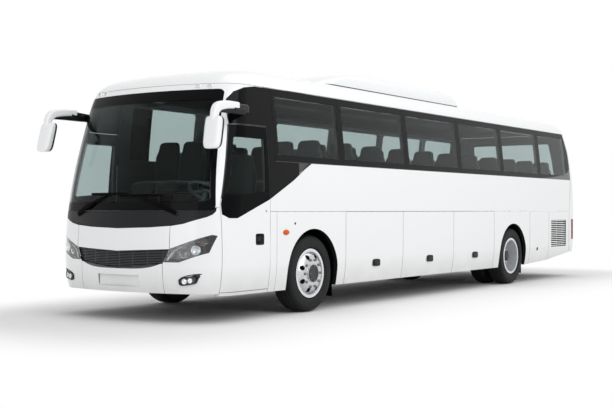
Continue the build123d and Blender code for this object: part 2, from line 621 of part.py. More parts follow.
HOUSING_RADIUS = 548
HOUSING_WALL = 8
HOUSING_OUT_Y = 1186
HOUSING_LOW_Z = 320
FLAP_Y = (860, 1140)
FLAP_LOW_Z = 155
HOUSING_IN_Y = (588, 556)
AXLE_HOLE_RADIUS = 240   # the hole in the inner wall that the axle passes
hang_down = (Align.CENTER, Align.MAX)
skirt_room = flank_band(-2, SKIN + 2)
with BuildPart() as wheel_housings:
    for arch_s, y_wall in zip(ARCH_CENTRES, HOUSING_IN_Y):
        layers = ((HOUSING_OUT_Y, HOUSING_RADIUS), (y_wall + HOUSING_WALL, AXLE_HOLE_RADIUS))
        for y_high, radius in layers:
            with BuildSketch(Plane.XZ.offset(-y_high)) as arch:
                outer = HOUSING_RADIUS + HOUSING_WALL
                with Locations((at(arch_s), TYRE_RADIUS)):
                    Circle(outer)
                with Locations((at(arch_s), (TYRE_RADIUS + HOUSING_LOW_Z) / 2)):
                    Rectangle(2 * outer, TYRE_RADIUS - HOUSING_LOW_Z)
                with Locations((at(arch_s), TYRE_RADIUS)):
                    Circle(radius, mode=Mode.SUBTRACT)
                    Rectangle(2 * radius, 2 * TYRE_RADIUS, align=hang_down, mode=Mode.SUBTRACT)
                with Locations((at(arch_s), HOUSING_LOW_Z)):
                    Rectangle(3 * outer, 2 * HOUSING_LOW_Z, align=hang_down, mode=Mode.SUBTRACT)
            extrude(arch.sketch, amount=y_high - y_wall)
        flap_s = (arch_s + HOUSING_RADIUS + 2, arch_s + HOUSING_RADIUS + 2 + HOUSING_WALL)
        add(block(*flap_s, *FLAP_Y, FLAP_LOW_Z, TYRE_RADIUS))
    add(skirt_room, mode=Mode.SUBTRACT)
    mirror(about=Plane.XZ)
save(wheel_housings, "wheel_housings")

# Axles, knuckles, wheels and tyres. A turned profile's points are (Y, radius).
WHEEL_Y = 1065
DUAL_PITCH = 334
INNER_Y = WHEEL_Y - DUAL_PITCH
KINGPIN_Y = 965
KINGPIN_R, KINGPIN_BORE_R = 27.95, 28


def turned(axle_s, y_centre, profile):
    """A profile revolved about an axle, its Ys counted outwards from y_centre."""
    middle = (at(axle_s), 0, TYRE_RADIUS)
    with BuildSketch(Plane(origin=middle, x_dir=(0, 1, 0), z_dir=(1, 0, 0))) as outline:
        with BuildLine():
            Polyline(*[(y_centre + y, r) for y, r in profile], close=True)
        make_face()
    with BuildPart() as body:
        revolve(outline.sketch, axis=Axis(middle, (0, 1, 0)))
    return body.part


def hand_holes(axle_s, y_low, y_high):
    """The ring of holes through a wheel's disc."""
    plane = Plane(origin=(at(axle_s), y_low, TYRE_RADIUS), x_dir=(1, 0, 0), z_dir=(0, 1, 0))
    with BuildPart() as holes:
        with BuildSketch(plane):
            with PolarLocations(HAND_HOLE_PITCH_R, HAND_HOLES, 25):
                Circle(HAND_HOLE_R)
        extrude(amount=y_high - y_low)
    return holes.part


RIM = ((-121, 298), (-116, 298), (-116, 287), (116, 287), (116, 298), (121, 298), (121, 262), (-121, 262))
DISC = ((60, 264), (100, 264), (140, 224), (158, 188), (158, 0), (146, 0), (146, 184), (128, 216))
DISC += ((92, 252), (60, 252))
DISHED_DISC = tuple((-y, r) for y, r in DISC)
FRONT_HUB = ((150, 0), (150, 116), (168, 112), (176, 96), (178, 0))
REAR_HUB = ((-178, 0), (-178, 150), (-150, 150), (-150, 125), (-60, 118), (20, 108), (34, 92), (36, 0))
TYRE = ((-112, 290), (-138, 400), (-118, 470), (118, 470), (138, 400), (112, 290))
INNER_TYRE = ((-114, 290), (-128, 470), (128, 470), (114, 290))
HAND_HOLES, HAND_HOLE_R, HAND_HOLE_PITCH_R = 8, 30, 212
with BuildPart() as front_wheel:
    add(turned(0, WHEEL_Y, RIM))
    add(turned(0, WHEEL_Y, DISC))
    add(turned(0, WHEEL_Y, FRONT_HUB))
    add(hand_holes(0, WHEEL_Y + 56, WHEEL_Y + 170), mode=Mode.SUBTRACT)
save_pair(front_wheel, "front_wheel_left", "front_wheel_right")

with BuildPart() as front_tyre:
    add(turned(0, WHEEL_Y, TYRE))
save_pair(front_tyre, "front_tyre_left", "front_tyre_right")

with BuildPart() as rear_wheel:
    add(turned(WHEELBASE, WHEEL_Y, RIM))
    add(turned(WHEELBASE, WHEEL_Y, DISHED_DISC))
    add(turned(WHEELBASE, WHEEL_Y, REAR_HUB))
    add(turned(WHEELBASE, INNER_Y, RIM))
    add(turned(WHEELBASE, INNER_Y, DISC))
    add(hand_holes(WHEELBASE, INNER_Y + 56, WHEEL_Y - 56), mode=Mode.SUBTRACT)
save_pair(rear_wheel, "rear_wheel_left", "rear_wheel_right")

with BuildPart() as rear_tyres:
    add(turned(WHEELBASE, WHEEL_Y, TYRE))
    add(turned(WHEELBASE, INNER_Y, INNER_TYRE))
save_pair(rear_tyres, "rear_tyres_left", "rear_tyres_right")

EAR_Z = (350, 550)
EAR_THICK = 40
with BuildPart() as knuckle:
    with Locations((at(0), KINGPIN_Y, EAR_Z[0])):
        Cylinder(KINGPIN_R, 240, align=(Align.CENTER, Align.CENTER, Align.MIN))
    for z in EAR_Z:
        with Locations((at(0), KINGPIN_Y, z)):
            Cylinder(46, EAR_THICK, align=(Align.CENTER, Align.CENTER, Align.MIN))
        with Locations((at(0), KINGPIN_Y + 40, z + EAR_THICK / 2)):
            Box(80, 80, EAR_THICK)
    with Locations((at(0), KINGPIN_Y + 70, TYRE_RADIUS)):
        Box(90, 30, 240)
    add(turned(0, KINGPIN_Y, ((60, 0), (60, 205), (150, 205), (150, 112), (234, 105), (234, 0))))
save_pair(knuckle, "knuckle_left", "knuckle_right")

with BuildPart() as front_axle:
    with Locations((at(0), 0, 430)):
        Box(90, 2 * (KINGPIN_Y - 130), 100)
    for side in (LEFT, RIGHT):
        with Locations((at(0), side * (KINGPIN_Y - 90), TYRE_RADIUS)):
            Box(80, 160, 90)
        with Locations((at(0), side * KINGPIN_Y, TYRE_RADIUS)):
            Cylinder(48, 140)
    with GridLocations(1, 2 * KINGPIN_Y, 1, 2):
        with Locations((at(0), 0, TYRE_RADIUS)):
            Cylinder(KINGPIN_BORE_R, 200, mode=Mode.SUBTRACT)
save(front_axle, "front_axle")

AXLE_CASE = ((-600, 0), (-600, 80), (-200, 95), (-120, 190))
AXLE_CASE += tuple((-y, r) for y, r in reversed(AXLE_CASE))
DRUM = ((590, 0), (590, 80), (650, 200), (858, 200), (858, 0))
with BuildPart() as rear_axle:
    add(turned(WHEELBASE, 0, AXLE_CASE))
    for side in (LEFT, RIGHT):
        add(turned(WHEELBASE, 0, [(side * y, r) for y, r in DRUM]))
save(rear_axle, "rear_axle")

# Seats, dashboard and steering wheel, in side view
SEAT_PITCH = 760
SEAT_ROWS = 11
SEAT_START_S = -120
SEAT_Y = (250, 1075)
BENCH = ((120, 1175), (120, 1440), (0, 1460), (0, 1600), (430, 1620), (520, 2120), (610, 2120))
BENCH += ((555, 1480), (380, 1440), (380, 1175))
with BuildPart() as passenger_seats:
    for row in range(SEAT_ROWS):
        bench = [(SEAT_START_S + row * SEAT_PITCH + s, z) for s, z in BENCH]
        add(side_region(bench, SEAT_Y))
    mirror(about=Plane.XZ)
save(passenger_seats, "passenger_seats")

DRIVER_Y = 620
DRIVER_SEAT = ((-1080, 760), (-1080, 1060), (-1180, 1090), (-1180, 1210), (-760, 1225), (-680, 1900))
DRIVER_SEAT += ((-600, 1900), (-640, 1120), (-780, 1060), (-780, 760))
with BuildPart() as driver_seat:
    add(side_region(DRIVER_SEAT, (DRIVER_Y - 250, DRIVER_Y + 250)))
save(driver_seat, "driver_seat")

DASH = ((-1930, 1000), (-1930, 1190), (-1640, 1240), (-1500, 1290), (-1440, 1200), (-1500, 900))
DASH += ((-1560, 760), (-1700, 760))
STEERING_HUB = (at(-1290), DRIVER_Y, 1430)
STEERING_UP = Vector(-0.53, 0, 0.848)
with BuildPart() as dashboard:
    add(side_region(DASH, (-950, 950)))
    add(end_form(AHEAD, SKIN + 12), mode=Mode.INTERSECT)
    with BuildSketch(Plane(origin=STEERING_HUB, x_dir=(0, 1, 0), z_dir=STEERING_UP)):
        Circle(225)
        Circle(192, mode=Mode.SUBTRACT)
        Circle(60)
        Rectangle(400, 40)
    extrude(amount=26)
    with BuildSketch(Plane(origin=STEERING_HUB, x_dir=(0, 1, 0), z_dir=-STEERING_UP)):
        Circle(32)
    extrude(amount=320)
save(dashboard, "dashboard")

# Luggage racks above the seats, in front view
RACK = ((740, 2420), (1050, 2370), (1070, 2400), (1050, 2600), (1000, 2630), (900, 2520), (740, 2470))
with BuildPart() as luggage_racks:
    add(end_region(RACK, (-420, 8150)))
    mirror(about=Plane.XZ)
save(luggage_racks, "luggage_racks")

# Mirrors and wipers. Arm points: station, Y, height
MIRROR_ARM = ((-1200, 1120, 2330), (-1225, 1300, 2365), (-2020, 1330, 2365), (-2030, 1330, 2180))
ARM_RADIUS = 36
ARM_BEND = 85
nose_clear = end_form(AHEAD, -1)
with BuildPart() as mirror_heads:
    with Locations((at(-2030), 1330, 2047)):
        Box(105, 210, 315)
    fillet(mirror_heads.edges(), 40)
with BuildPart() as mirrors:
    with BuildLine() as arm:
        FilletPolyline(*[(at(s), y, z) for s, y, z in MIRROR_ARM], radius=ARM_BEND)
    with BuildSketch(Plane(origin=arm.line @ 0, z_dir=arm.line % 0)):
        Circle(ARM_RADIUS)
    sweep()
    add(nose_clear, mode=Mode.SUBTRACT)
    add(mirror_heads.part)
    mirror(about=Plane.XZ)
save(mirrors, "mirrors")

WIPER_FACE_S = -2046
# Each blade: its ends' Ys and its foot's height
WIPER_BLADES = ((-500, 100, 1402), (-40, 560, 1388))
BLADE_THICK, BLADE_HIGH = 12, 26
# Each arm: pivot and blade ends, as station, Y and height
WIPER_ARMS = (
    ((-1990, -728, 1187), (-2036, -200, 1403)),
    ((-1982, 769, 1195), (-2034, 260, 1403)),
)
WIPER_ARM_RADIUS, PIVOT_RADIUS = 9, 24
with BuildPart() as wipers:
    for y_low, y_high, z in WIPER_BLADES:
        with BuildSketch(Plane.XY.offset(z)):
            with Locations((at(WIPER_FACE_S) - NOSE_RADIUS, 0)):
                Circle(NOSE_RADIUS)
                Circle(NOSE_RADIUS - BLADE_THICK, mode=Mode.SUBTRACT)
            with Locations((at(-2000), (y_low + y_high) / 2)):
                Rectangle(400, y_high - y_low, mode=Mode.INTERSECT)
        extrude(amount=BLADE_HIGH)
    for pivot, tip in WIPER_ARMS:
        ends = [Vector(at(s), y, z) for s, y, z in (pivot, tip)]
        with BuildSketch(Plane(origin=ends[0], z_dir=ends[1] - ends[0])):
            Circle(WIPER_ARM_RADIUS)
        extrude(amount=(ends[1] - ends[0]).length)
        with Locations(Plane(origin=ends[0], z_dir=(1, 0, 0))):
            Cylinder(PIVOT_RADIUS, 40)
    add(nose_clear, mode=Mode.SUBTRACT)
save(wipers, "wipers")
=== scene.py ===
"""The looks of a two-axle touring coach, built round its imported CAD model.

Everything is in metres in the model's own frame: +X forward, +Y to the left, +Z up, with the
origin on the ground below the middle of the body.
"""

import json
from math import pi, radians, tan

import bmesh
import bpy
import numpy as np
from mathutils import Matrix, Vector


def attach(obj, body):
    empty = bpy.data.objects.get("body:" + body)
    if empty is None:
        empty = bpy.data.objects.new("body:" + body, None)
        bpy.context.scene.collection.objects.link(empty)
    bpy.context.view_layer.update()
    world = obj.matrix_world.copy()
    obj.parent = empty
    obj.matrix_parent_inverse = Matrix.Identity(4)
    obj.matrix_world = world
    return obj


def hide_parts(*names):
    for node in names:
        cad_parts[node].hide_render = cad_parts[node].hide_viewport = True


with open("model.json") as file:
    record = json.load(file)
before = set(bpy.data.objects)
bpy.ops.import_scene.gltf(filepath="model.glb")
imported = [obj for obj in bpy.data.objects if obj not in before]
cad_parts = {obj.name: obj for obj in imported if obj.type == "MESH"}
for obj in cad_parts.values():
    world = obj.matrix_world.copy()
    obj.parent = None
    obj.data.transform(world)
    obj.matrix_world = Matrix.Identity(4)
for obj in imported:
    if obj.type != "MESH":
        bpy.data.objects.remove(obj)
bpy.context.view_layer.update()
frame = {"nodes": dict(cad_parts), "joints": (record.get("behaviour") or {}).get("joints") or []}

# Camera. It stands ahead of the coach on its left, at chest height and almost level, with the
# lens that a fit of the photograph's perspective gave.
CAMERA_AHEAD, CAMERA_LEFT, CAMERA_UP = 10.647, 8.464, 1.237
CAMERA_LENS_MM, SENSOR_MM = 62.4, 36
CAMERA_LOOK = Vector((-0.8233, -0.5676, tan(radians(0.324))))
joint_at = {joint["name"]: Vector(joint["pos_m"]) for joint in frame["joints"]}
FRONT_HUB = joint_at["front_wheel_left_spin"]
scene = bpy.context.scene
camera = bpy.data.objects.new("camera", bpy.data.cameras.new("camera"))
camera.data.lens = CAMERA_LENS_MM
camera.data.sensor_width = SENSOR_MM
camera.location = (FRONT_HUB.x + CAMERA_AHEAD, CAMERA_LEFT, CAMERA_UP)
camera.rotation_euler = CAMERA_LOOK.to_track_quat("-Z", "Y").to_euler()
scene.collection.objects.link(camera)
scene.camera = camera
scene.view_settings.view_transform = "Standard"


# Studio. A white sweep under a broad even sky and three large soft boxes, so that the coach
# stands on its own soft shadow and the white runs on behind it.
def linear(hex_colour):
    """An sRGB hex colour as linear red, green, blue and alpha."""
    channels = np.array([int(hex_colour[i : i + 2], 16) for i in (1, 3, 5)]) / 255
    low, high = channels / 12.92, ((channels + 0.055) / 1.055) ** 2.4
    return (*np.where(channels <= 0.04045, low, high).tolist(), 1.0)


def add_node(tree, kind, inputs=(), **settings):
    """Adds one node, sets its properties, and sets or links its inputs; returns the node. A
    shader node's kind goes without its prefix, and a node as an input gives its first output."""
    node = tree.nodes.new(kind if "Node" in kind else "ShaderNode" + kind)
    for key, value in settings.items():
        setattr(node, key, value)
    for key, value in dict(inputs).items():
        if isinstance(value, bpy.types.Node):
            value = value.outputs[0]
        if isinstance(value, bpy.types.NodeSocket):
            tree.links.new(value, node.inputs[key])
        else:
            node.inputs[key].default_value = value
    return node


def new_material(name, values):
    """A material with these values on its principled shader: the material, its node tree, its
    shader, and the place on the piece, which its patterns follow."""
    material = bpy.data.materials.new(name)
    material.use_nodes = True
    tree = material.node_tree
    shader = tree.nodes["Principled BSDF"]
    for key, value in values.items():
        shader.inputs[key].default_value = value
    return material, tree, shader, add_node(tree, "TexCoord").outputs["Object"]


def new_piece(name, points, faces, material, body, smooth=True, slot=None):
    """A mesh piece with merged points and outward normals that rides on a body."""
    mesh = bpy.data.meshes.new(name)
    mesh.from_pydata(np.asarray(points, float).tolist(), [], np.asarray(faces).tolist())
    form = bmesh.new()
    form.from_mesh(mesh)
    bmesh.ops.remove_doubles(form, verts=form.verts, dist=2e-5)
    bmesh.ops.dissolve_degenerate(form, edges=form.edges, dist=1e-6)
    bmesh.ops.recalc_face_normals(form, faces=form.faces)
    form.to_mesh(mesh)
    form.free()
    mesh.materials.append(material)
    mesh.polygons.foreach_set("use_smooth", np.full(len(mesh.polygons), smooth))
    piece = bpy.data.objects.new(name, mesh)
    scene.collection.objects.link(piece)
    if body is None:
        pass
    else:
        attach(piece, body)
    return piece


SKY_LIGHT = 0.62
world = bpy.data.worlds.new("studio")
world.use_nodes = True
scene.world = world
sky = world.node_tree
sky.nodes.clear()
rays = add_node(sky, "LightPath").outputs
looked = add_node(
    sky, "Math", {0: rays["Is Camera Ray"], 1: rays["Is Transmission Ray"]}, operation="MAXIMUM"
)
mirrored = add_node(sky, "Math", {0: looked, 1: rays["Is Glossy Ray"]}, operation="MAXIMUM")
lit = add_node(sky, "Background", {"Color": (1, 1, 1, 1), "Strength": SKY_LIGHT})
plain = add_node(sky, "Background", {"Color": (1, 1, 1, 1), "Strength": 1.0})
shown = add_node(sky, "MixShader", {0: mirrored, 1: lit, 2: plain})
add_node(sky, "OutputWorld", {"Surface": shown})

# Soft boxes: name, place, size and power in watts, each aimed at the middle of the coach
SOFT_BOXES = (
    ("key_box", (6, 12, 8), 9, 540),
    ("top_box", (-2, 3, 12), 14, 500),
    ("front_box", (16, 1, 2.2), 7, 190),
)
AIM = Vector((0, 0, 1.2))
for name, spot, size, power in SOFT_BOXES:
    lamp = bpy.data.lights.new(name, "AREA")
    lamp.size = size
    lamp.energy = power
    soft_box = bpy.data.objects.new(name, lamp)
    soft_box.location = spot
    soft_box.rotation_euler = (AIM - Vector(spot)).to_track_quat("-Z", "Y").to_euler()
    scene.collection.objects.link(soft_box)


# Studio floor. White painted board, matt, laid as one even sheet: it keeps the shadow near the
# coach and is plain white beyond, by the distance from the coach's footprint.
FLOOR_HALF, FOOTPRINT_HALF = 60, (5.8, 0.8, 0)
SHADOW_ENDS, WHITE_STARTS = 0.6, 2.4
floor_paint, tree, shader, place = new_material(
    "matt white studio board",
    {"Base Color": linear("#F2F2F2"), "Roughness": 0.9, "Specular IOR Level": 0.1},
)
spread = add_node(tree, "VectorMath", {0: place}, operation="ABSOLUTE")
beyond = add_node(tree, "VectorMath", {0: spread, 1: FOOTPRINT_HALF}, operation="SUBTRACT")
beside = add_node(tree, "VectorMath", {0: beyond, 1: (0, 0, 0)}, operation="MAXIMUM")
reach = add_node(tree, "VectorMath", {0: beside}, operation="LENGTH")
fade = add_node(
    tree,
    "MapRange",
    {"Value": reach.outputs["Value"], "From Min": SHADOW_ENDS, "From Max": WHITE_STARTS},
    interpolation_type="SMOOTHSTEP",
)
glow = add_node(tree, "Emission", {"Color": (1, 1, 1, 1), "Strength": 1.0})
blend = add_node(tree, "MixShader", {0: fade, 1: shader, 2: glow})
tree.links.new(blend.outputs[0], tree.nodes["Material Output"].inputs["Surface"])
corners = np.array([(-1, -1, 0), (1, -1, 0), (1, 1, 0), (-1, 1, 0)]) * FLOOR_HALF
new_piece("studio_floor", corners, [(0, 1, 2, 3)], floor_paint, None)


# Painted shell. Galvanised sheet and moulded end panels under white two-coat enamel, with a grey
# vinyl-faced trim inside. The steel behind the bonded side glass is painted black.
def smoothed(panels, sharp_above):
    """Welds CAD nodes' loose faces and shades them smoothly, but for edges above an angle."""
    group = bpy.data.node_groups.new("weld and smooth", "GeometryNodeTree")
    for way in ("INPUT", "OUTPUT"):
        group.interface.new_socket("Geometry", in_out=way, socket_type="NodeSocketGeometry")
    inlet = add_node(group, "NodeGroupInput")
    weld = add_node(group, "GeometryNodeMergeByDistance", {"Geometry": inlet, "Distance": 2e-5})
    bend = add_node(group, "GeometryNodeInputMeshEdgeAngle")
    sharp = add_node(group, "FunctionNodeCompare", {0: bend, 1: sharp_above}, operation="GREATER_THAN")
    soft = add_node(
        group, "GeometryNodeSetShadeSmooth", {0: weld, "Shade Smooth": True}, domain="FACE"
    )
    crease = add_node(
        group,
        "GeometryNodeSetShadeSmooth",
        {0: soft, "Selection": sharp, "Shade Smooth": False},
        domain="EDGE",
    )
    add_node(group, "NodeGroupOutput", {0: crease})
    for panel in panels:
        panel.modifiers.new("weld and smooth", "NODES").node_group = group


def finish_nodes(material, *names):
    """Gives CAD nodes one material."""
    for name in names:
        nodes[name].data.materials.clear()
        nodes[name].data.materials.append(material)


def outward_mask(tree, place, least):
    """1 on faces that look away from the middle of the cabin by at least this cosine, else 0."""
    lifted = add_node(tree, "VectorMath", {0: place, 1: CORE_LOW}, operation="MAXIMUM")
    core = add_node(tree, "VectorMath", {0: lifted, 1: CORE_HIGH}, operation="MINIMUM")
    out = add_node(tree, "VectorMath", {0: place, 1: core}, operation="SUBTRACT")
    way = add_node(tree, "VectorMath", {0: out}, operation="NORMALIZE")
    normal = place.node.outputs["Normal"]
    facing = add_node(tree, "VectorMath", {0: way, 1: normal}, operation="DOT_PRODUCT")
    return add_node(tree, "Math", {0: facing.outputs["Value"], 1: least}, operation="GREATER_THAN")


def band_mask(tree, value, low, high, soft=0.001):
    """1 where a value lies between low and high, with soft edges."""
    ends = []
    for edge, outside in ((low, 0), (high, 1)):
        limits = {"From Min": edge - soft, "From Max": edge + soft, "To Min": outside, "To Max": 1 - outside}
        ends.append(add_node(tree, "MapRange", {"Value": value, **limits}))
    return add_node(tree, "Math", {0: ends[0], 1: ends[1]}, operation="MULTIPLY")


def mixed(tree, mask, first, second):
    """Colour first where the mask is 0 and second where it is 1."""
    return add_node(tree, "Mix", {0: mask, 6: first, 7: second}, data_type="RGBA").outputs[2]


def within(*bands):
    """A mask of where all of these bands agree, each as an axis with a low and a high limit."""

    def mask_of(tree, place):
        split = add_node(tree, "SeparateXYZ", {0: place})
        mask = 1.0
        for axis, low, high in bands:
            band = band_mask(tree, split.outputs[axis], low, high)
            mask = add_node(tree, "Math", {0: mask, 1: band}, operation="MULTIPLY")
        return mask

    return mask_of


def above_line(tree, split, line, axis, low, high):
    """1 above a line's height, between two places along an axis."""
    over = add_node(tree, "Math", {0: split.outputs["Z"], 1: line}, operation="GREATER_THAN")
    near = band_mask(tree, split.outputs[axis], low, high)
    return add_node(tree, "Math", {0: over, 1: near}, operation="MULTIPLY")


def quarter_tip(tree, place):
    """The tip of the black quarter panel behind the door, above a slanting line."""
    (x_low, z_low), (x_high, z_high) = QUARTER_TIP
    slope = (z_high - z_low) / (x_high - x_low)
    split = add_node(tree, "SeparateXYZ", {0: place})
    terms = {0: split.outputs["X"], 1: slope, 2: z_low - slope * x_low}
    line = add_node(tree, "Math", terms, operation="MULTIPLY_ADD")
    return above_line(tree, split, line, "X", x_low, x_high + 0.1)


def grille_foot_shadow(tree, place):
    """A painted shadow at the grille's foot, black on the bumper above z = low + rise (y / half)^4."""
    split = add_node(tree, "SeparateXYZ", {0: place})
    across = add_node(tree, "Math", {0: split.outputs["Y"], 1: FOOT_SHADOW_HALF}, operation="DIVIDE")
    curve = add_node(tree, "Math", {0: across, 1: 4.0}, operation="POWER")
    line = add_node(tree, "Math", {0: curve, 1: FOOT_SHADOW_RISE, 2: FOOT_SHADOW_LOW_Z}, operation="MULTIPLY_ADD")
    return above_line(tree, split, line, "Y", -FOOT_SHADOW_HALF, FOOT_SHADOW_HALF)


def enamel(name, *black, lined=True):
    """White two-coat enamel: a hard, even gloss with a faint orange peel about 4 mm across, and
    painted shade that greys it towards the road in noisy patches. black gives masks of what is
    painted black. Shut faces and cut edges get painted shade in near black, and what faces the
    cabin is lined."""
    values = {"Roughness": 0.32, "Coat Weight": 0.7, "Coat Roughness": 0.06, "Specular IOR Level": 0.4}
    material, tree, shader, place = new_material(name, values)
    height = add_node(tree, "SeparateXYZ", {0: place}).outputs["Z"]
    # Painted shade: the white greys towards the road, in noisy patches
    speckle = add_node(tree, "TexNoise", {"Vector": place, "Scale": 3.0, "Detail": 5})
    low_down = add_node(
        tree, "MapRange", {"Value": height, "From Min": LOW_SHADE_TOP_Z, "From Max": LOW_SHADE_FULL_Z}
    )
    grey_patches = add_node(tree, "Math", {0: low_down, 1: speckle}, operation="MULTIPLY")
    outside = mixed(tree, grey_patches, linear(ENAMEL_WHITE), linear(LOW_SHADE_GREY))
    for mask_of in black:
        outside = mixed(tree, mask_of(tree, place), outside, linear(FRIT_AND_SHADOW_BLACK))
    if lined:
        # Painted shade: faces turned from the outside, in shut lines and cut edges, are near black
        for least, under in ((SEAM_SHADE_FACING, SEAM_SHADE_BLACK), (TRIM_FACING, TRIM_GREY)):
            outside = mixed(tree, outward_mask(tree, place, least), linear(under), outside)
    tree.links.new(outside, shader.inputs["Base Color"])
    peel = add_node(tree, "TexNoise", {"Vector": place, "Scale": 240.0, "Detail": 1})
    bump = add_node(tree, "Bump", {"Height": peel, "Strength": 0.02, "Distance": 0.0004})
    tree.links.new(bump.outputs[0], shader.inputs["Normal"])
    return material


def at(station):
    """X of a station, in metres behind the front axle."""
    return FRONT_HUB.x - station


nodes = frame["nodes"]
SIDES = (("left", 1), ("right", -1))
# Painted shade: the second colour on the next line greys the white near the road
ENAMEL_WHITE, LOW_SHADE_GREY, FRIT_AND_SHADOW_BLACK = "#E9EBEC", "#C9C8C3", "#08090B"
# Painted shade: the first colour on the next line is the near black of shut faces and cut edges
SEAM_SHADE_BLACK, TRIM_GREY = "#1A1B1D", "#283133"
# Cosines below which a face gets the painted shade, and below which it is lined
SEAM_SHADE_FACING, TRIM_FACING = 0.40, -0.12
CORE_LOW, CORE_HIGH = (-4.4, 0, 1.0), (3.6, 0, 1.9)
# Heights where the painted shade near the road starts and where it is full
LOW_SHADE_TOP_Z, LOW_SHADE_FULL_Z = 0.62, 0.3
BAND_LOW_Z, BAND_HIGH_Z = 1.7962, 2.649
RIM_LOW_Z, RIM_HIGH_Z = 1.362, 2.4
POST_BACK_X, POST_LOW_Z, POST_HIGH_Z = at(-1.50), 1.0, 2.40
QUARTER_TIP = ((at(-0.019), 1.800), (at(-0.325), 1.652))
# The painted shadow under the grille: its lowest height, its rise and its half width
FOOT_SHADOW_LOW_Z, FOOT_SHADOW_RISE, FOOT_SHADOW_HALF = 0.588, 0.078, 0.63
window_band = within(("Z", BAND_LOW_Z, BAND_HIGH_Z))
window_rims = within(("Z", RIM_LOW_Z, RIM_HIGH_Z))
door_posts = within(("X", -9, POST_BACK_X), ("Z", POST_LOW_Z, POST_HIGH_Z))
DOORS = [f"luggage_door_{side}_{number}" for side, _ in SIDES for number in (1, 2, 3)]
DOORS += [f"{kind}_{side}" for kind in ("service_door", "engine_side_door") for side, _ in SIDES]
ENDS = ("front_flap", "front_corners", "rear_wall", "engine_lid", "rear_bumper")
smoothed(nodes.values(), radians(32))
finish_nodes(enamel("white two-coat enamel"), "skirts", "roof", *ENDS, *DOORS)
finish_nodes(enamel("white enamel with black window band", window_band, quarter_tip), "side_walls")
rimmed_enamel = enamel("white enamel with black window rims", window_rims)
finish_nodes(rimmed_enamel, "driver_door", "passenger_door")
finish_nodes(enamel("white enamel with black door posts", door_posts), "windscreen_frame")
# Painted shadow: the bumper is painted black at the grille's foot
finish_nodes(enamel("white enamel with painted shadow under grille", grille_foot_shadow), "front_bumper")


# Glass. The windscreen is laminated and the side panes are toughened, both body-tinted a grey
# green, with a black ceramic border fired on where they are bonded to the steel.
def distance_outside(tree, place, corners, axes, rounding):
    """How far a point lies outside a convex outline seen along one axis: the largest of its
    distances beyond each edge's line, blended so that the corners are round."""
    corners = np.array(corners)
    middle = corners.mean(0)
    worst = None
    for a, b in zip(corners, np.roll(corners, -1, 0)):
        normal = np.array((b[1] - a[1], a[0] - b[0])) / np.hypot(*(b - a))
        normal *= np.sign(normal @ (a - middle))
        lean = np.zeros(3)
        lean[list(axes)] = normal
        along = add_node(tree, "VectorMath", {0: place, 1: lean}, operation="DOT_PRODUCT")
        terms = {0: along.outputs["Value"], 1: float(normal @ a)}
        beyond = add_node(tree, "Math", terms, operation="SUBTRACT")
        if worst is None:
            worst = beyond
        else:
            worst = add_node(tree, "Math", {0: worst, 1: beyond, 2: rounding}, operation="SMOOTH_MAX")
    return worst


def outline_frit(corners, axes, rounding, fade=0.004):
    """A mask that is 0 inside an outline and turns to 1 over the fade's width outside it."""

    def mask_of(tree, place):
        value = distance_outside(tree, place, corners, axes, rounding)
        return add_node(tree, "MapRange", {"Value": value, "From Min": -fade, "From Max": fade})

    return mask_of


def side_frit(tree, place):
    """Black along the panes' edges and joints, and all over the quarter panels by the doors,
    which reach further back on the entrance side."""
    split = add_node(tree, "SeparateXYZ", {0: place})
    clear = 0.0
    for ahead, behind in zip(PANE_SEAMS, PANE_SEAMS[1:]):
        pane = band_mask(tree, split.outputs["X"], at(behind - POST_HALF), at(ahead + POST_HALF), 0.003)
        clear = add_node(tree, "Math", {0: clear, 1: pane}, operation="ADD")
    height = band_mask(tree, split.outputs["Z"], PANE_LOW_Z, PANE_HIGH_Z, 0.003)
    left = add_node(tree, "Math", {0: split.outputs["Y"], 1: 0.0}, operation="GREATER_THAN")
    astern = add_node(
        tree, "Math", {0: split.outputs["X"], 1: at(RIGHT_CLEAR_S)}, operation="LESS_THAN"
    )
    open_to = add_node(tree, "Math", {0: left, 1: astern}, operation="MAXIMUM")
    for mask in (height, open_to):
        clear = add_node(tree, "Math", {0: clear, 1: mask}, operation="MULTIPLY")
    return add_node(tree, "Math", {0: 1.0, 1: clear}, operation="SUBTRACT")


def fritted_glass(name, mask_of, index=1.13):
    """Tinted glass, clear where the mask is 0 and fired black where it is 1. The tint darkens
    over the border's fade of dots, before the glass turns opaque. Its index is lower than real
    glass has, so that the white studio doesn't veil the dark cabin."""
    values = {"IOR": index, "Specular IOR Level": 0.5, "Roughness": 0.0}
    material, tree, shader, place = new_material(name, values)
    mask = mask_of(tree, place)
    tree.links.new(mixed(tree, mask, linear(GLASS_TINT), linear(FRIT_AND_SHADOW_BLACK)), shader.inputs["Base Color"])
    clear = add_node(tree, "Math", {0: mask, 1: 0.98}, operation="LESS_THAN")
    tree.links.new(clear.outputs[0], shader.inputs["Transmission Weight"])
    return material


GLASS_TINT = "#C6D1D0"
SCREEN_CLEAR = ((-1.09, 1.33), (1.09, 1.33), (0.965, 2.46), (-0.965, 2.46))
DOOR_CLEAR = ((at(-1.470), 2.045), (at(-0.962), 2.045), (at(-0.99), 1.44), (at(-1.622), 1.398))
REAR_CLEAR = ((-0.83, 1.88), (0.83, 1.88), (0.775, 2.49), (-0.775, 2.49))
PANE_SEAMS = (-0.765, 0.660, 2.347, 4.004, 5.551, 7.132, 8.48)
POST_HALF, PANE_LOW_Z, PANE_HIGH_Z = 0.068, 1.878, 2.558
RIGHT_CLEAR_S = -0.28
screen_frit = outline_frit(SCREEN_CLEAR, (1, 2), 0.09, 0.012)
door_frit = outline_frit(DOOR_CLEAR, (0, 2), 0.03)
rear_frit = outline_frit(REAR_CLEAR, (1, 2), 0.05)
finish_nodes(fritted_glass("laminated windscreen glass", screen_frit, 1.15), "windscreen")
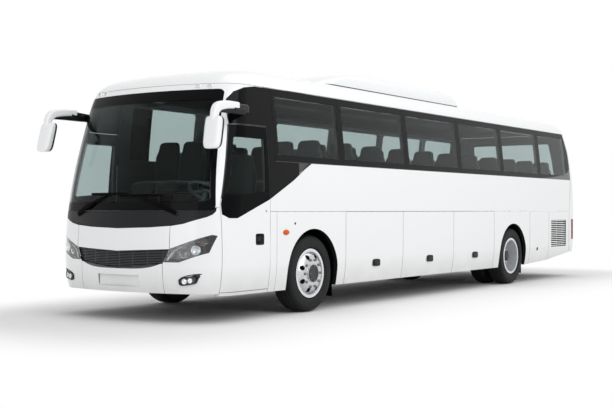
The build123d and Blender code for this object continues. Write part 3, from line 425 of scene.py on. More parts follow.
door_glass = fritted_glass("toughened door glass", door_frit)
finish_nodes(door_glass, "driver_door_glass", "passenger_door_glass")
finish_nodes(fritted_glass("toughened side glass", side_frit, 1.2), "side_glass")
finish_nodes(fritted_glass("toughened rear glass", rear_frit), "rear_window")


# Black mouldings. The panel under the windscreen and the grille are injection-moulded ABS with a
# satin skin, which gives a soft dark sheen and a fine stipple.
def moulded(name, colour, roughness, grain_mm=1.5, depth_mm=0.05, gloss=0.5):
    """Moulded plastic: an even colour with slight mottling and a spark-eroded grain."""
    material, tree, shader, place = new_material(name, {"Specular IOR Level": gloss})
    cloud = add_node(tree, "TexNoise", {"Vector": place, "Scale": 6.0, "Detail": 4})
    base = linear(colour)
    darker = tuple(0.82 * c for c in base[:3]) + (1.0,)
    tree.links.new(mixed(tree, cloud, base, darker), shader.inputs["Base Color"])
    limits = {"To Min": roughness - 0.04, "To Max": roughness + 0.06}
    rough = add_node(tree, "MapRange", {"Value": cloud, **limits})
    tree.links.new(rough.outputs[0], shader.inputs["Roughness"])
    grain = add_node(tree, "TexNoise", {"Vector": place, "Scale": 1000 / grain_mm, "Detail": 1})
    bump = add_node(tree, "Bump", {"Height": grain, "Strength": 0.3, "Distance": depth_mm / 1000})
    tree.links.new(bump.outputs[0], shader.inputs["Normal"])
    return material


satin_black = moulded("satin black ABS", "#141518", 0.38, gloss=0.2)
finish_nodes(satin_black, "wiper_panel")
finish_nodes(moulded("dark grey moulded ABS", "#3A3C3F", 0.3), "grille")


# Grille screen. A fine dark mesh behind the slats, drawn as a thin bowed plate, which keeps the
# radiator's dark depth; it is clipped to the back of the grille.
def grid_faces(rings, steps):
    """The quads between rings of points, counted ring by ring, each ring closed on itself."""
    ring = np.arange(rings - 1)[:, None] * steps
    step = np.arange(steps)[None, :]
    after = (step + 1) % steps
    corners = (ring + step, ring + after, ring + steps + after, ring + steps + step)
    return np.stack(corners, -1).reshape(-1, 4)


# The plate's section is carried along x = at(station) - y^2 / (2 bow) and closed at both ends
SCREEN_S, SCREEN_BOW, SCREEN_HALF, SCREEN_RINGS = -2.028, 3.0, 0.66, 40
SCREEN_SECTION = np.array([(-0.0015, 0.61), (0.0015, 0.61), (0.0015, 0.78), (-0.0015, 0.78)])
deep_black = moulded("matt black polypropylene", "#050505", 0.7, gloss=0.05)
across = np.linspace(-SCREEN_HALF, SCREEN_HALF, SCREEN_RINGS)[:, None] + 0 * SCREEN_SECTION[:, 0]
bowed = at(SCREEN_S) - across**2 / (2 * SCREEN_BOW) + SCREEN_SECTION[:, 0]
rings = np.stack([bowed, across, 0 * across + SCREEN_SECTION[:, 1]], -1)
screen_ends = [ring.mean(0) + 0 * ring for ring in (rings[0], rings[-1])]
screen_points = np.stack([screen_ends[0], *rings, screen_ends[1]]).reshape(-1, 3)
screen_faces = grid_faces(SCREEN_RINGS + 2, len(SCREEN_SECTION))
new_piece("grille_screen", screen_points, screen_faces, deep_black, "body", False, "black_plastic")


# Lamps. Clear polycarbonate covers over vacuum-metallised housings, with two glass-fronted bowls,
# a white light guide and an amber turn lamp on each side; the fog lamps are screwed to the
# bumper's corners in black rims, each below a moulded brow.
def spow(value, power):
    """A signed power, which turns a circle's cosine and sine into a rounded square's."""
    return np.sign(value) * np.abs(value) ** power


def puck(centre, axis, half_sizes, profile, squareness=1.0, steps=40, up=(0, 0, 1)):
    """Points and quads of a closed shape about an axis. The profile's points are (share of the
    half sizes, height along the axis); squareness 1 is an ellipse, and less a rounded square."""
    axis = np.array(axis, float) / np.linalg.norm(axis)
    across = np.cross(up, axis)
    across /= np.linalg.norm(across)
    rise = np.cross(axis, across)
    angle = np.linspace(0, 2 * pi, steps, endpoint=False)
    share, height = np.array(profile, float).T[:, :, None]
    along_u = share * half_sizes[0] * spow(np.cos(angle), squareness)
    along_v = share * half_sizes[1] * spow(np.sin(angle), squareness)
    sideways = along_u[..., None] * across + along_v[..., None] * rise
    points = np.array(centre) + sideways + (height + 0 * along_u)[..., None] * axis
    return points.reshape(-1, 3), grid_faces(len(profile), steps)


def joined(shapes):
    """Several shapes' points and quads as one."""
    starts = np.cumsum([0] + [len(points) for points, _ in shapes[:-1]])
    return (
        np.concatenate([points for points, _ in shapes]),
        np.concatenate([faces + start for (_, faces), start in zip(shapes, starts)]),
    )


def rounded_path(corners, samples, window):
    """A polyline walked in even steps and averaged over a sliding window, which rounds its bends."""
    corners = np.array(corners, float)
    walked = np.concatenate([[0], np.cumsum(np.linalg.norm(np.diff(corners, axis=0), axis=1))])
    fine = np.linspace(0, walked[-1], 600)
    line = np.stack([np.interp(fine, walked, c) for c in corners.T], -1)
    reach = int(window / walked[-1] * 600) // 2 * 2 + 1
    half = reach // 2
    before, after = 2 * line[0] - line[half:0:-1], 2 * line[-1] - line[-2 : -2 - half : -1]
    padded = np.concatenate([before, line, after])
    smooth = np.stack([np.convolve(c, np.ones(reach) / reach, "valid") for c in padded.T], -1)
    return smooth[np.linspace(0, len(smooth) - 1, samples).astype(int)]


def swept(path, half_sizes, up=(0, 0, 1)):
    """A rounded-box section carried along a path and pinched shut at both ends. half_sizes gives
    the half width across and the half height for each point of the path."""
    squareness, steps = 0.6, 28
    path = np.array(path, float)
    half_sizes = np.broadcast_to(np.array(half_sizes, float), (len(path), 2))
    along = np.gradient(path, axis=0)
    along /= np.linalg.norm(along, axis=1)[:, None]
    across = np.cross(along, up)
    across /= np.linalg.norm(across, axis=1)[:, None]
    rise = np.cross(across, along)
    angle = np.linspace(0, 2 * pi, steps, endpoint=False)
    wide = half_sizes[:, :1] * spow(np.cos(angle), squareness)
    high = half_sizes[:, 1:] * spow(np.sin(angle), squareness)
    points = path[:, None] + wide[..., None] * across[:, None] + high[..., None] * rise[:, None]
    caps = [np.repeat(path[i][None, None], steps, 1) for i in (0, -1)]
    points = np.concatenate([caps[0], points, caps[1]])
    return points.reshape(-1, 3), grid_faces(len(points), steps)


def bent(shape, centre, normal, radius):
    """A shape laid round an upright curve: it falls back by the square of its distance along the
    skin over twice the curve's radius."""
    points, faces = shape
    along = np.cross((0, 0, 1), normal)
    along /= np.linalg.norm(along)
    away = (points - centre) @ along
    return points - (away**2 / (2 * radius))[:, None] * np.array(normal), faces


def on_skin(start, way, *names):
    """Where a ray first meets one of these CAD nodes: the point and its outward normal. A ray
    that runs into a shut line is moved up by the line's width."""
    hits = []
    for rise in (0, SHUT_LINE, 2 * SHUT_LINE):
        origin = Vector(start) + Vector((0, 0, rise))
        for name in names:
            hit, point, normal, _ = nodes[name].ray_cast(origin, Vector(way))
            if hit:
                hits.append(((point - origin).length, point, normal))
        if hits:
            break
    _, point, normal = min(hits, key=lambda item: item[0])
    return np.array(point), np.array(normal)


def on_nose(y, z, *names):
    """The point and normal of the nose's skin at a place across and a height."""
    return on_skin((at(AHEAD_OF_NOSE_S), y, z), (-1, 0, 0), *names)


def skin_path(corners, side, sink, *names):
    """Points on the nose's skin, sunk below it or lifted off, along a line of (Y, height)."""
    spots = [on_nose(side * y, z, *names) for y, z in corners]
    return [point - sink * normal for point, normal in spots]


def metallised(name, colour, roughness, shade_beyond=None):
    """Bright metal with faint clouding, as vacuum metallising and chrome plating leave it. A lamp
    housing is left black further from the middle than shade_beyond."""
    material, tree, shader, place = new_material(name, {"Metallic": 1.0})
    cloud = add_node(tree, "TexNoise", {"Vector": place, "Scale": 14.0, "Detail": 3})
    base = linear(colour)
    darker = tuple(0.7 * c for c in base[:3]) + (1.0,)
    plated = mixed(tree, cloud, base, darker)
    if shade_beyond:
        across = add_node(tree, "SeparateXYZ", {0: place}).outputs["Y"]
        inboard = band_mask(tree, across, -shade_beyond, shade_beyond, 0.01)
        plated = mixed(tree, inboard, linear("#101113"), plated)
    tree.links.new(plated, shader.inputs["Base Color"])
    limits = {"To Min": roughness, "To Max": roughness + 0.08}
    rough = add_node(tree, "MapRange", {"Value": cloud, **limits})
    tree.links.new(rough.outputs[0], shader.inputs["Roughness"])
    return material


def lens(name, colour, roughness=0.0, transmission=1.0, fluted=True):
    """Moulded clear plastic, slightly hazed, or with fine upright flutes that break up what lies
    behind."""
    values = {"Roughness": roughness, "IOR": 1.45, "Transmission Weight": transmission}
    values.update({"Base Color": linear(colour), "Specular IOR Level": 0.12})
    material, tree, shader, place = new_material(name, values)
    if fluted:
        flutes = add_node(
            tree, "TexWave", {"Vector": place, "Scale": 12.0, "Distortion": 0.0}, bands_direction="Y"
        )
        height = flutes.outputs["Fac"]
        bump = add_node(tree, "Bump", {"Height": height, "Strength": 0.02, "Distance": 0.0005})
        tree.links.new(bump.outputs[0], shader.inputs["Normal"])
    else:
        haze = add_node(tree, "TexNoise", {"Vector": place, "Scale": 8.0})
        tint = tuple(0.93 * c for c in linear(colour)[:3]) + (1.0,)
        tree.links.new(mixed(tree, haze, linear(colour), tint), shader.inputs["Base Color"])
    return material


# Bowls: Y, height and radius; each is a bright dish with a glass ball in front of it
BOWLS = ((0.858, 0.766, 0.050), (0.982, 0.800, 0.052))
DISH = ((0.0, -0.034), (0.45, -0.028), (0.80, -0.010), (0.93, 0.004), (1.0, 0.006))
DISH += ((1.04, 0.0), (1.0, -0.03), (0.0, -0.044))
BALL = ((0.0, -0.022), (0.46, -0.016), (0.48, -0.004), (0.42, 0.004), (0.25, 0.010), (0.0, 0.012))
BOWL_SINK, BOWL_TURN = 0.034, 0.45
TURN_LAMP_Y, TURN_LAMP_Z, TURN_LAMP_SINK, TURN_LAMP_HALF = 1.058, 0.880, 0.026, (0.040, 0.028)
GUIDE, GUIDE_SINK = ((0.690, 0.690), (0.722, 0.745), (0.765, 0.795), (0.850, 0.835)), 0.022
GUIDE_HALF = np.linspace((0.004, 0.034), (0.004, 0.014), 24)
FOG_Y, FOG_Z, FOG_HALF, FOG_TILT, FOG_BEND = 0.913, 0.470, (0.104, 0.043), 0.16, 0.64
FOG_RIM = ((0.0, 0.0), (1.0, 0.0), (1.06, 0.003), (1.04, 0.008), (0.95, 0.008), (0.90, 0.003))
FOG_RIM += ((0.0, 0.002),)
FOG_BOWL = ((0.0, 0.0022), (0.30, 0.003), (0.70, 0.0045), (0.90, 0.0075), (0.90, 0.002), (0.0, 0.001))
FOG_RING = ((0.0, 0.001), (0.3, 0.008), (0.5, 0.004), (0.8, 0.005), (0.92, 0.010), (1.0, 0.009))
FOG_RING += ((1.0, 0.0), (0.0, 0.0))
FOG_RING_PLACES, FOG_RING_LIFT = ((-0.036, 0.030), (0.030, 0.028)), 0.004
BROW = ((0.835, 0.500), (0.900, 0.524), (0.980, 0.540), (1.050, 0.545))
# The fog lamp's ray starts this much higher, where it meets the skin clear of the plate's edge
FOG_RAY_RISE = 0.06
SHUT_LINE, AHEAD_OF_NOSE_S = 0.006, -2.4
lamp_metal = metallised("vacuum-metallised lamp housing", "#484B4E", 0.2, shade_beyond=1.07)
chrome = metallised("bright chrome plate", "#E2E4E6", 0.06)
bright_guide = moulded("white light guide", "#F2F4F5", 0.3)
cover_lens = lens("clear polycarbonate cover", "#FBFCFC", fluted=False)
amber_lens = lens("amber acrylic", "#E9661C", 0.1, 0.35)
finish_nodes(lamp_metal, "front_lamps")
finish_nodes(cover_lens, "headlamp_lenses")
bowls, balls, guides, ambers, fog_rims, fog_bowls = [], [], [], [], [], []
for _, side in SIDES:
    for y, z, radius in BOWLS:
        seat = on_nose(side * y, z, "headlamp_lenses")[0] - (BOWL_SINK, 0, 0)
        for shape, kept in ((DISH, bowls), (BALL, balls)):
            kept.append(puck(seat, (1.0, BOWL_TURN * side, 0.0), (radius, radius), shape))
    guide = rounded_path(skin_path(GUIDE, side, GUIDE_SINK, "headlamp_lenses"), 24, 0.05)
    guides.append(swept(guide, GUIDE_HALF, up=(1, 0, 0)))
    point, normal = on_nose(side * TURN_LAMP_Y, TURN_LAMP_Z, "headlamp_lenses")
    seat = point - TURN_LAMP_SINK * normal
    ambers.append(puck(seat, normal, TURN_LAMP_HALF, BALL, up=(0, 0.3 * side, 1)))
    heart, normal = on_nose(side * FOG_Y, FOG_Z + FOG_RAY_RISE, "front_corners")
    heart = heart - (0, 0, FOG_RAY_RISE)
    normal = np.array((normal[0], normal[1], 0)) / np.hypot(normal[0], normal[1])
    tilt = (0, -FOG_TILT * side, 1)
    for shape, kept in ((FOG_RIM, fog_rims), (FOG_BOWL, fog_bowls)):
        kept.append(bent(puck(heart, normal, FOG_HALF, shape, 0.55, up=tilt), heart, normal, FOG_BEND))
    for shift, size in FOG_RING_PLACES:
        along = np.array((-normal[1], normal[0], 0)) * side
        spot = heart + shift * along + (0, 0, FOG_TILT * shift) + FOG_RING_LIFT * normal
        bowls.append(bent(puck(spot, normal, (size, size), FOG_RING), heart, normal, FOG_BEND))
    brow = rounded_path(skin_path(BROW, side, -0.001, "front_corners"), 24, 0.05)
    fog_rims.append(swept(brow, (0.004, 0.005)))
new_piece("lamp_bowls", *joined(bowls), chrome, "body", slot="lamp_reflector")
new_piece("lamp_strips", *joined(guides), bright_guide, "body")
new_piece("lamp_glasses", *joined(balls), cover_lens, "body", slot="clear_lens")
new_piece("turn_lamps", *joined(ambers), amber_lens, "body")
new_piece("fog_lamp_rims", *joined(fog_rims), satin_black, "body")
new_piece("fog_lamp_housings", *joined(fog_bowls), lamp_metal, "body")


# Small lamps on the skin. The amber side repeaters ahead of the front wheels and the clear roof
# markers in chromed rims are moulded domes, each screwed on from behind.
DOME = ((0.0, -0.002), (1.0, -0.002), (1.0, 0.004), (0.93, 0.010), (0.7, 0.014), (0.35, 0.016))
DOME += ((0.0, 0.0165),)
REPEATER_S, REPEATER_Z, REPEATER_HALF = -0.589, 0.976, (0.060, 0.032)
MARKER_YS, MARKER_Z, MARKER_HALF, MARKER_RIM_HALF = (0.72, 0.86), 2.628, (0.026, 0.020), (0.032, 0.026)


def on_flank(station, side, z, *names):
    """The point and normal of a flank's skin at a station and a height."""
    return on_skin((at(station), side * 2, z), (0, -side, 0), *names)


repeaters, markers, marker_rims = [], [], []
for _, side in SIDES:
    point, normal = on_flank(REPEATER_S, side, REPEATER_Z, "skirts")
    repeaters.append(puck(point, normal, REPEATER_HALF, DOME))
    for y in MARKER_YS:
        point, normal = on_nose(side * y, MARKER_Z, "windscreen_frame", "roof")
        markers.append(puck(point, normal, MARKER_HALF, DOME))
        marker_rims.append(puck(point - 0.002 * normal, normal, MARKER_RIM_HALF, DOME))
new_piece("side_repeaters", *joined(repeaters), amber_lens, "body")
new_piece("roof_marker_lamps", *joined(markers), cover_lens, "body")
new_piece("roof_marker_rims", *joined(marker_rims), chrome, "body")


# Tail lamps. Red acrylic blocks, injection-moulded with small prisms inside, which give the face
# its sparkle; dark joints cut each block into three lamps at the rear corners.
TAIL_LAMP_ZS = ((0.69, 0.802), (0.815, 0.925), (0.938, 1.07))
values = {"Roughness": 0.12, "Specular IOR Level": 0.15, "IOR": 1.49}
tail_red, tree, shader, place = new_material("red acrylic", values)
height = add_node(tree, "SeparateXYZ", {0: place}).outputs["Z"]
lamps = 0.0
for low, high in TAIL_LAMP_ZS:
    lamp_band = band_mask(tree, height, low, high, 0.002)
    lamps = add_node(tree, "Math", {0: lamps, 1: lamp_band}, operation="ADD")
tree.links.new(mixed(tree, lamps, linear("#141414"), linear("#7A0A0E")), shader.inputs["Base Color"])
prisms = add_node(tree, "TexVoronoi", {"Vector": place, "Scale": 90.0})
bump = add_node(tree, "Bump", {"Height": prisms, "Strength": 0.25, "Distance": 0.001})
tree.links.new(bump.outputs[0], shader.inputs["Normal"])
finish_nodes(tail_red, "tail_lamps")


# Tyres. Radial truck tyres of black filled rubber, cured in a mould: a bulged sidewall with
# raised rings, four grooves round the tread and cross cuts in its shoulders.
def around_axle(hub, offset, profile, steps=48, swell=None):
    """Points and quads of a profile turned about a wheel's axle. Its points are (outwards from
    the wheel's middle, radius); swell gives what is added to the radii by angle and place."""
    angle = np.linspace(0, 2 * pi, steps, endpoint=False)
    out, radius = np.array(profile, float).T[:, :, None]
    radius = radius + 0 * angle
    if swell is not None:
        radius = radius + swell(out, radius, angle)
    x, z = hub.x + radius * np.cos(angle), hub.z + radius * np.sin(angle)
    return np.stack([x, offset + out + 0 * radius, z], -1).reshape(-1, 3), grid_faces(len(profile), steps)


def tyre(hub, offset, half_width):
    """A tyre: its section is a rounded box from bead to bead, r = mid + rise spow(sin t, 0.55)
    and y = half width spow(cos t, 0.62), with grooves and shoulder lugs cut from the tread."""
    turn = np.radians(np.linspace(-50, 230, 92))
    radius = TYRE_MID + (TYRE_OUTER - TYRE_MID) * spow(np.sin(turn), 0.55)
    section = np.stack([half_width * spow(np.cos(turn), 0.62), radius], -1)
    section = np.concatenate([section, BEAD, section[:1]])
    scale = half_width / TYRE_HALF

    def swell(out, radius, angle):
        groove = 0
        for middle in GROOVE_PLACES:
            groove = groove - GROOVE_DEEP * (np.abs(out - middle * scale) < GROOVE_HALF)
        lug = np.sin(LUGS * angle + 9 * np.abs(out) / half_width) < -0.72
        cut = -LUG_DEEP * lug * (np.abs(out) > SHOULDER * scale)
        rings = sum(RING_HIGH * (np.abs(radius - middle) < half) for middle, half in SIDE_RINGS)
        return np.where(radius > TYRE_OUTER - 0.012, np.minimum(groove, cut), 0) + rings

    return around_axle(hub, offset, section, 216, swell)


TYRE_OUTER, TYRE_MID, TYRE_HALF, INNER_TYRE_HALF = 0.4698, 0.380, 0.138, 0.128
BEAD = np.array([(-0.095, 0.292), (0.095, 0.292)])
GROOVE_PLACES, GROOVE_HALF, GROOVE_DEEP = (-0.075, -0.026, 0.026, 0.075), 0.006, 0.009
LUGS, LUG_DEEP, SHOULDER = 54, 0.008, 0.070
SIDE_RINGS, RING_HIGH = ((0.352, 0.004), (0.418, 0.003)), 0.0016
WHEEL_Y, INNER_Y = 1.065, 0.731
REAR_HUB = joint_at["rear_wheels_left_spin"]
rubber = moulded("cured tyre rubber", "#121315", 0.6, grain_mm=4, depth_mm=0.3, gloss=0.25)
for name, side in SIDES:
    single = tyre(FRONT_HUB, side * WHEEL_Y, TYRE_HALF)
    outer = tyre(REAR_HUB, side * WHEEL_Y, TYRE_HALF)
    inner = tyre(REAR_HUB, side * INNER_Y, INNER_TYRE_HALF)
    for end, wheel, cad_tyre, shapes in (
        ("front", "front_wheel", "front_tyre", [single]),
        ("rear", "rear_wheels", "rear_tyres", [outer, inner]),
    ):
        piece_name = f"{end}_tyre_rubber_{name}"
        tread = new_piece(piece_name, *joined(shapes), rubber, f"{wheel}_{name}", slot="tyre_rubber")
        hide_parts(f"{cad_tyre}_{name}")


# Wheels. Forged aluminium discs, turned bright on a lathe, each held by ten zinc-plated nuts; the
# front hub has a black painted cap under eight bolts, and the rear one a plain cap.
def turned_aluminium(name, hub, rough_low, dish_colour):
    """Lathe-turned aluminium: fine rings about the axle, and a greyer dish inside the lip, in noisy patches.
    """
    material, tree, shader, place = new_material(name, {"Metallic": 1.0})
    flat = add_node(tree, "VectorMath", {0: place, 1: (hub.x, 0, hub.z)}, operation="SUBTRACT")
    flat = add_node(tree, "VectorMath", {0: flat, 1: (1, 0, 1)}, operation="MULTIPLY")
    radius = add_node(tree, "VectorMath", {0: flat}, operation="LENGTH").outputs["Value"]
    cloud = add_node(tree, "TexNoise", {"Vector": place, "Scale": 22.0, "Detail": 4})
    inside_lip = add_node(tree, "MapRange", {"Value": radius, "From Min": 0.285, "From Max": 0.24})
    grey_patches = add_node(tree, "Math", {0: inside_lip, 1: cloud}, operation="MULTIPLY")
    turned = mixed(tree, grey_patches, linear("#E0E2E4"), linear(dish_colour))
    tree.links.new(turned, shader.inputs["Base Color"])
    limits = {"To Min": rough_low, "To Max": rough_low + 0.2}
    rough = add_node(tree, "MapRange", {"Value": cloud, **limits})
    tree.links.new(rough.outputs[0], shader.inputs["Roughness"])
    ring = add_node(tree, "Math", {0: radius, 1: 1400.0}, operation="MULTIPLY")
    wave = add_node(tree, "Math", {0: ring}, operation="SINE")
    bump = add_node(tree, "Bump", {"Height": wave, "Strength": 0.15, "Distance": 0.0003})
    tree.links.new(bump.outputs[0], shader.inputs["Normal"])
    return material


NUTS, NUT_RING, NUT_RADIUS = 10, 0.1675, 0.0165
NUT = ((0.0, 0.0), (1.25, 0.0), (1.25, 0.003), (1.0, 0.004), (1.0, 0.016), (0.86, 0.020), (0.0, 0.021))
# Caps: radius and distance outwards from the wheel's middle
HUB_CAP = ((0.0, 0.149), (0.110, 0.149), (0.106, 0.172), (0.095, 0.180), (0.072, 0.182))
HUB_CAP += ((0.060, 0.1795), (0.0, 0.1805))
REAR_CAP = ((0.0, 0.030), (0.092, 0.030), (0.088, 0.040), (0.055, 0.046), (0.050, 0.050), (0.0, 0.052))
BOLTS, BOLT_RING, BOLT_RADIUS, BOLT = 8, 0.088, 0.007, ((0, 0), (1, 0), (1, 0.005), (0, 0.006))
# Where the nuts and the bolts sit, outwards from the wheel's middle
FRONT_NUT_OUT, REAR_NUT_OUT, BOLT_OUT = 0.157, -0.147, 0.180
front_turned = turned_aluminium("lathe-turned aluminium, front", FRONT_HUB, 0.16, "#A9ABAD")
rear_turned = turned_aluminium("lathe-turned aluminium, rear", REAR_HUB, 0.42, "#B9BBBD")
finish_nodes(front_turned, "front_wheel_left", "front_wheel_right")
finish_nodes(rear_turned, "rear_wheel_left", "rear_wheel_right")
zinc = metallised("zinc-plated steel", "#8F9294", 0.3)
hub_black = moulded("black painted hub casting", "#222326", 0.45, grain_mm=3, depth_mm=0.4)


def hexagons(hub, side, outwards, count, ring, radius, profile):
    """Nuts or bolt heads set evenly round a wheel's face, this far outwards from its middle."""
    shapes = []
    for turn in np.arange(count) * 2 * pi / count:
        x, z = hub.x + ring * np.cos(turn), hub.z + ring * np.sin(turn)
        spot = (x, side * (WHEEL_Y + outwards), z)
        shapes.append(puck(spot, (0, side, 0), (radius, radius), profile, steps=6))
    return joined(shapes)


for name, side in SIDES:
    for kind, hub, nut_out in (
        ("front_wheel", FRONT_HUB, FRONT_NUT_OUT),
        ("rear_wheels", REAR_HUB, REAR_NUT_OUT),
    ):
        nuts = hexagons(hub, side, nut_out, NUTS, NUT_RING, NUT_RADIUS, NUT)
        new_piece(f"{kind}_nuts_{name}", *nuts, zinc, f"{kind}_{name}", smooth=False)
    for end, hub, profile, wheel in (
        ("front", FRONT_HUB, HUB_CAP, "front_wheel"),
        ("rear", REAR_HUB, REAR_CAP, "rear_wheels"),
    ):
        cap = around_axle(hub, side * WHEEL_Y, [(side * out, radius) for radius, out in profile])
        new_piece(f"{end}_hub_cap_{name}", *cap, hub_black, f"{wheel}_{name}")
    bolts = hexagons(FRONT_HUB, side, BOLT_OUT, BOLTS, BOLT_RING, BOLT_RADIUS, BOLT)
    new_piece(f"front_hub_bolts_{name}", *bolts, zinc, f"front_wheel_{name}", smooth=False)


# Underframe. Welded steel sections and castings, sprayed with a matt black underbody coating;
# the engine is grey cast iron, and the wheel arches are lined with black polypropylene.
chassis_black = moulded("sprayed chassis black", "#16171A", 0.6, grain_mm=6, depth_mm=0.8)
cast_iron = moulded("grey cast iron", "#4B4A48", 0.65, grain_mm=2.5, depth_mm=0.5)
bay_carpet = moulded("grey carpet-lined steel", "#5A5D5F", 0.85, grain_mm=5, depth_mm=1.0)
finish_nodes(deep_black, "wheel_housings")
finish_nodes(chassis_black, "chassis_rails", "front_axle", "rear_axle")
finish_nodes(cast_iron, "engine", "knuckle_left", "knuckle_right")
finish_nodes(bay_carpet, "luggage_bays")


# Cabin floor and entrance steps. Plywood under flecked vinyl sheet, glued down; the sheet is
# drawn as an even dark colour with a grain coarser than real flecks.
floor_vinyl = moulded("flecked vinyl flooring", "#22272A", 0.6, grain_mm=8, depth_mm=0.3)
finish_nodes(floor_vinyl, "cabin_floor", "entrance_steps")


# Roof unit. The air conditioner's cover is a white gel-coated glass-fibre moulding, bedded on
# the roof in a black rubber gasket.
GASKET_LOW_Z, GASKET_HIGH_Z = 2.80, 2.901
gasket = within(("Z", GASKET_LOW_Z, GASKET_HIGH_Z))
finish_nodes(enamel("white gel-coated glass fibre", gasket, lined=False), "ac_unit")


# Mirrors. Horn-shaped arms of white painted plastic over steel tube, on black feet by the
# cab; each carries a rounded white shell with a black rim and a mirror glass facing backwards.
def pillow(centre, half_sizes, edge=0.35, rim=0.35, columns=36, rows=24):
    """Points and quads of a rounded box: a sphere whose sines and cosines are taken to signed
    powers, edge round the vertical axis and rim towards the top and bottom."""
    around = np.linspace(0, 2 * pi, columns, endpoint=False)[None, :]
    climb = np.linspace(-pi / 2, pi / 2, rows)[:, None]
    flat = spow(np.cos(climb), rim)
    unit = [flat * spow(np.cos(around), edge), flat * spow(np.sin(around), edge)]
    unit.append(spow(np.sin(climb), rim) + 0 * around)
    points = np.array(centre) + np.array(half_sizes) * np.stack(unit, -1)
    return points.reshape(-1, 3), grid_faces(rows, columns)


def leaning(side, inward, lift, shape):
    """A part of a left-hand head, leant ahead and outwards with depth, and set on its side."""
    points, faces = shape
    x, y, z = points.T
    drop = HEAD_Z - z
    leant = np.stack([x + LEAN_AHEAD * drop, side * (y + LEAN_OUT * drop - inward), z + lift], -1)
    return leant, faces


def set_path(path, side, inward, lift):
    """A left-hand arm's path set on its side; its first point keeps its place on the cab's post."""
    path = np.array(path)
    share = np.linspace(0, 1, len(path))[:, None] if path[0, 1] < 1.2 else 1.0
    return (path + np.array((0, -inward, lift)) * share) * (1, side, 1)


HEAD_S, HEAD_Y, HEAD_Z = -2.016, 1.325, 2.057
HEAD_DEEP, HEAD_WIDE, HEAD_TALL = HEAD_HALF = (0.050, 0.100, 0.176)
LEAN_AHEAD, LEAN_OUT = 0.22, 0.05
ROOT_PATH = ((at(-1.27), 1.130, 2.345), (at(-1.37), 1.275, 2.350), (at(-1.66), 1.302, 2.345))
UNDER_PATH = ((at(-1.46), 1.298, 2.318), (at(-1.74), 1.304, 2.304), (at(-1.93), 1.312, 2.292))
ARM_PATH = ((at(-1.575), 1.300, 2.374), (at(-1.80), 1.310, 2.368))
ARM_PATH += ((at(-1.985), 1.322, 2.325), (at(-2.000), 1.325, 2.160))
# The arm's half height and half thickness, each by shares of its length
ARM_TALL, ARM_THICK = ((0, 0.65, 1), (0.038, 0.052, 0.040)), ((0, 0.7, 1), (0.036, 0.042, 0.034))
RIM = ((0.0, -0.004), (1.0, -0.004), (1.06, 0.012), (1.02, 0.026), (0.94, 0.026), (0.92, 0.016))
RIM += ((0.0, 0.016),)
MIRROR_GLASS = ((0.0, 0.016), (0.90, 0.016), (0.90, 0.020), (0.5, 0.0215), (0.0, 0.022))
# Each side's arm: how far it is drawn in and lifted against the paths above
SET_INS = ((1, 0.0, 0.0), (-1, 0.085, 0.045))
mirror_white = enamel("white painted mirror shell", lined=False)
values = {"Metallic": 1.0, "Roughness": 0.02}
silvered, tree, shader, place = new_material("silvered mirror glass", values)
haze = add_node(tree, "TexNoise", {"Vector": place, "Scale": 30.0})
tree.links.new(mixed(tree, haze, linear("#DDE2E4"), linear("#C8CED1")), shader.inputs["Base Color"])
walk = np.linspace(0, 1, 40)
arm_half = np.stack([np.interp(walk, *ARM_TALL), np.interp(walk, *ARM_THICK)], -1)
back = (at(HEAD_S) - HEAD_DEEP * 0.62, HEAD_Y, HEAD_Z)
rim_half = (HEAD_WIDE * 0.93, HEAD_TALL * 0.93)
arms, roots, heads, rims, glasses = [], [], [], [], []
for setting in SET_INS:
    arms.append(swept(rounded_path(set_path(ARM_PATH, *setting), 40, 0.20), arm_half, up=(0, 1, 0)))
    roots.append(swept(rounded_path(set_path(ROOT_PATH, *setting), 24, 0.10), (0.036, 0.050)))
    under = rounded_path(set_path(UNDER_PATH, *setting), 24, 0.10)
    roots.append(swept(under, np.linspace((0.032, 0.042), (0.026, 0.014), 24)))
    heads.append(leaning(*setting, pillow((at(HEAD_S), HEAD_Y, HEAD_Z), HEAD_HALF, 0.55, 0.4)))
    rims.append(leaning(*setting, puck(back, (-1, 0, 0), rim_half, RIM, 0.4)))
    glasses.append(leaning(*setting, puck(back, (-1, 0, 0), rim_half, MIRROR_GLASS, 0.4)))
mirror_arms = new_piece("mirror_arms", *joined(arms), mirror_white, "body", slot="white_paint")
new_piece("mirror_feet", *joined(roots), satin_black, "body", slot="black_plastic")
new_piece("mirror_shells", *joined(heads), mirror_white, "body", slot="white_paint")
new_piece("mirror_rims", *joined(rims), satin_black, "body", slot="black_plastic")
new_piece("mirror_glasses", *joined(glasses), silvered, "body")
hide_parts("mirrors")


# Wipers. Two black painted steel arms turn on spindles in the black panel and park flat, one
# blade over the other; each holds a slim rubber blade in a sprung carrier.
SPINDLES, SPINDLE_HALF = ((-0.728, 1.187), (0.769, 1.197)), (0.026, 0.026)
BLADE_ENDS = ((-0.500, 0.100, 1.418), (-0.040, 0.560, 1.398))
ARM_TIPS = ((-0.200, 1.414), (0.260, 1.400))
STAND_OFF, ARM_LIFT, ARM_HALF_HIGH = 0.020, 0.008, 0.008
ARM_WIDE = ((0, 0.45, 0.55, 1), (0.022, 0.026, 0.016, 0.010))
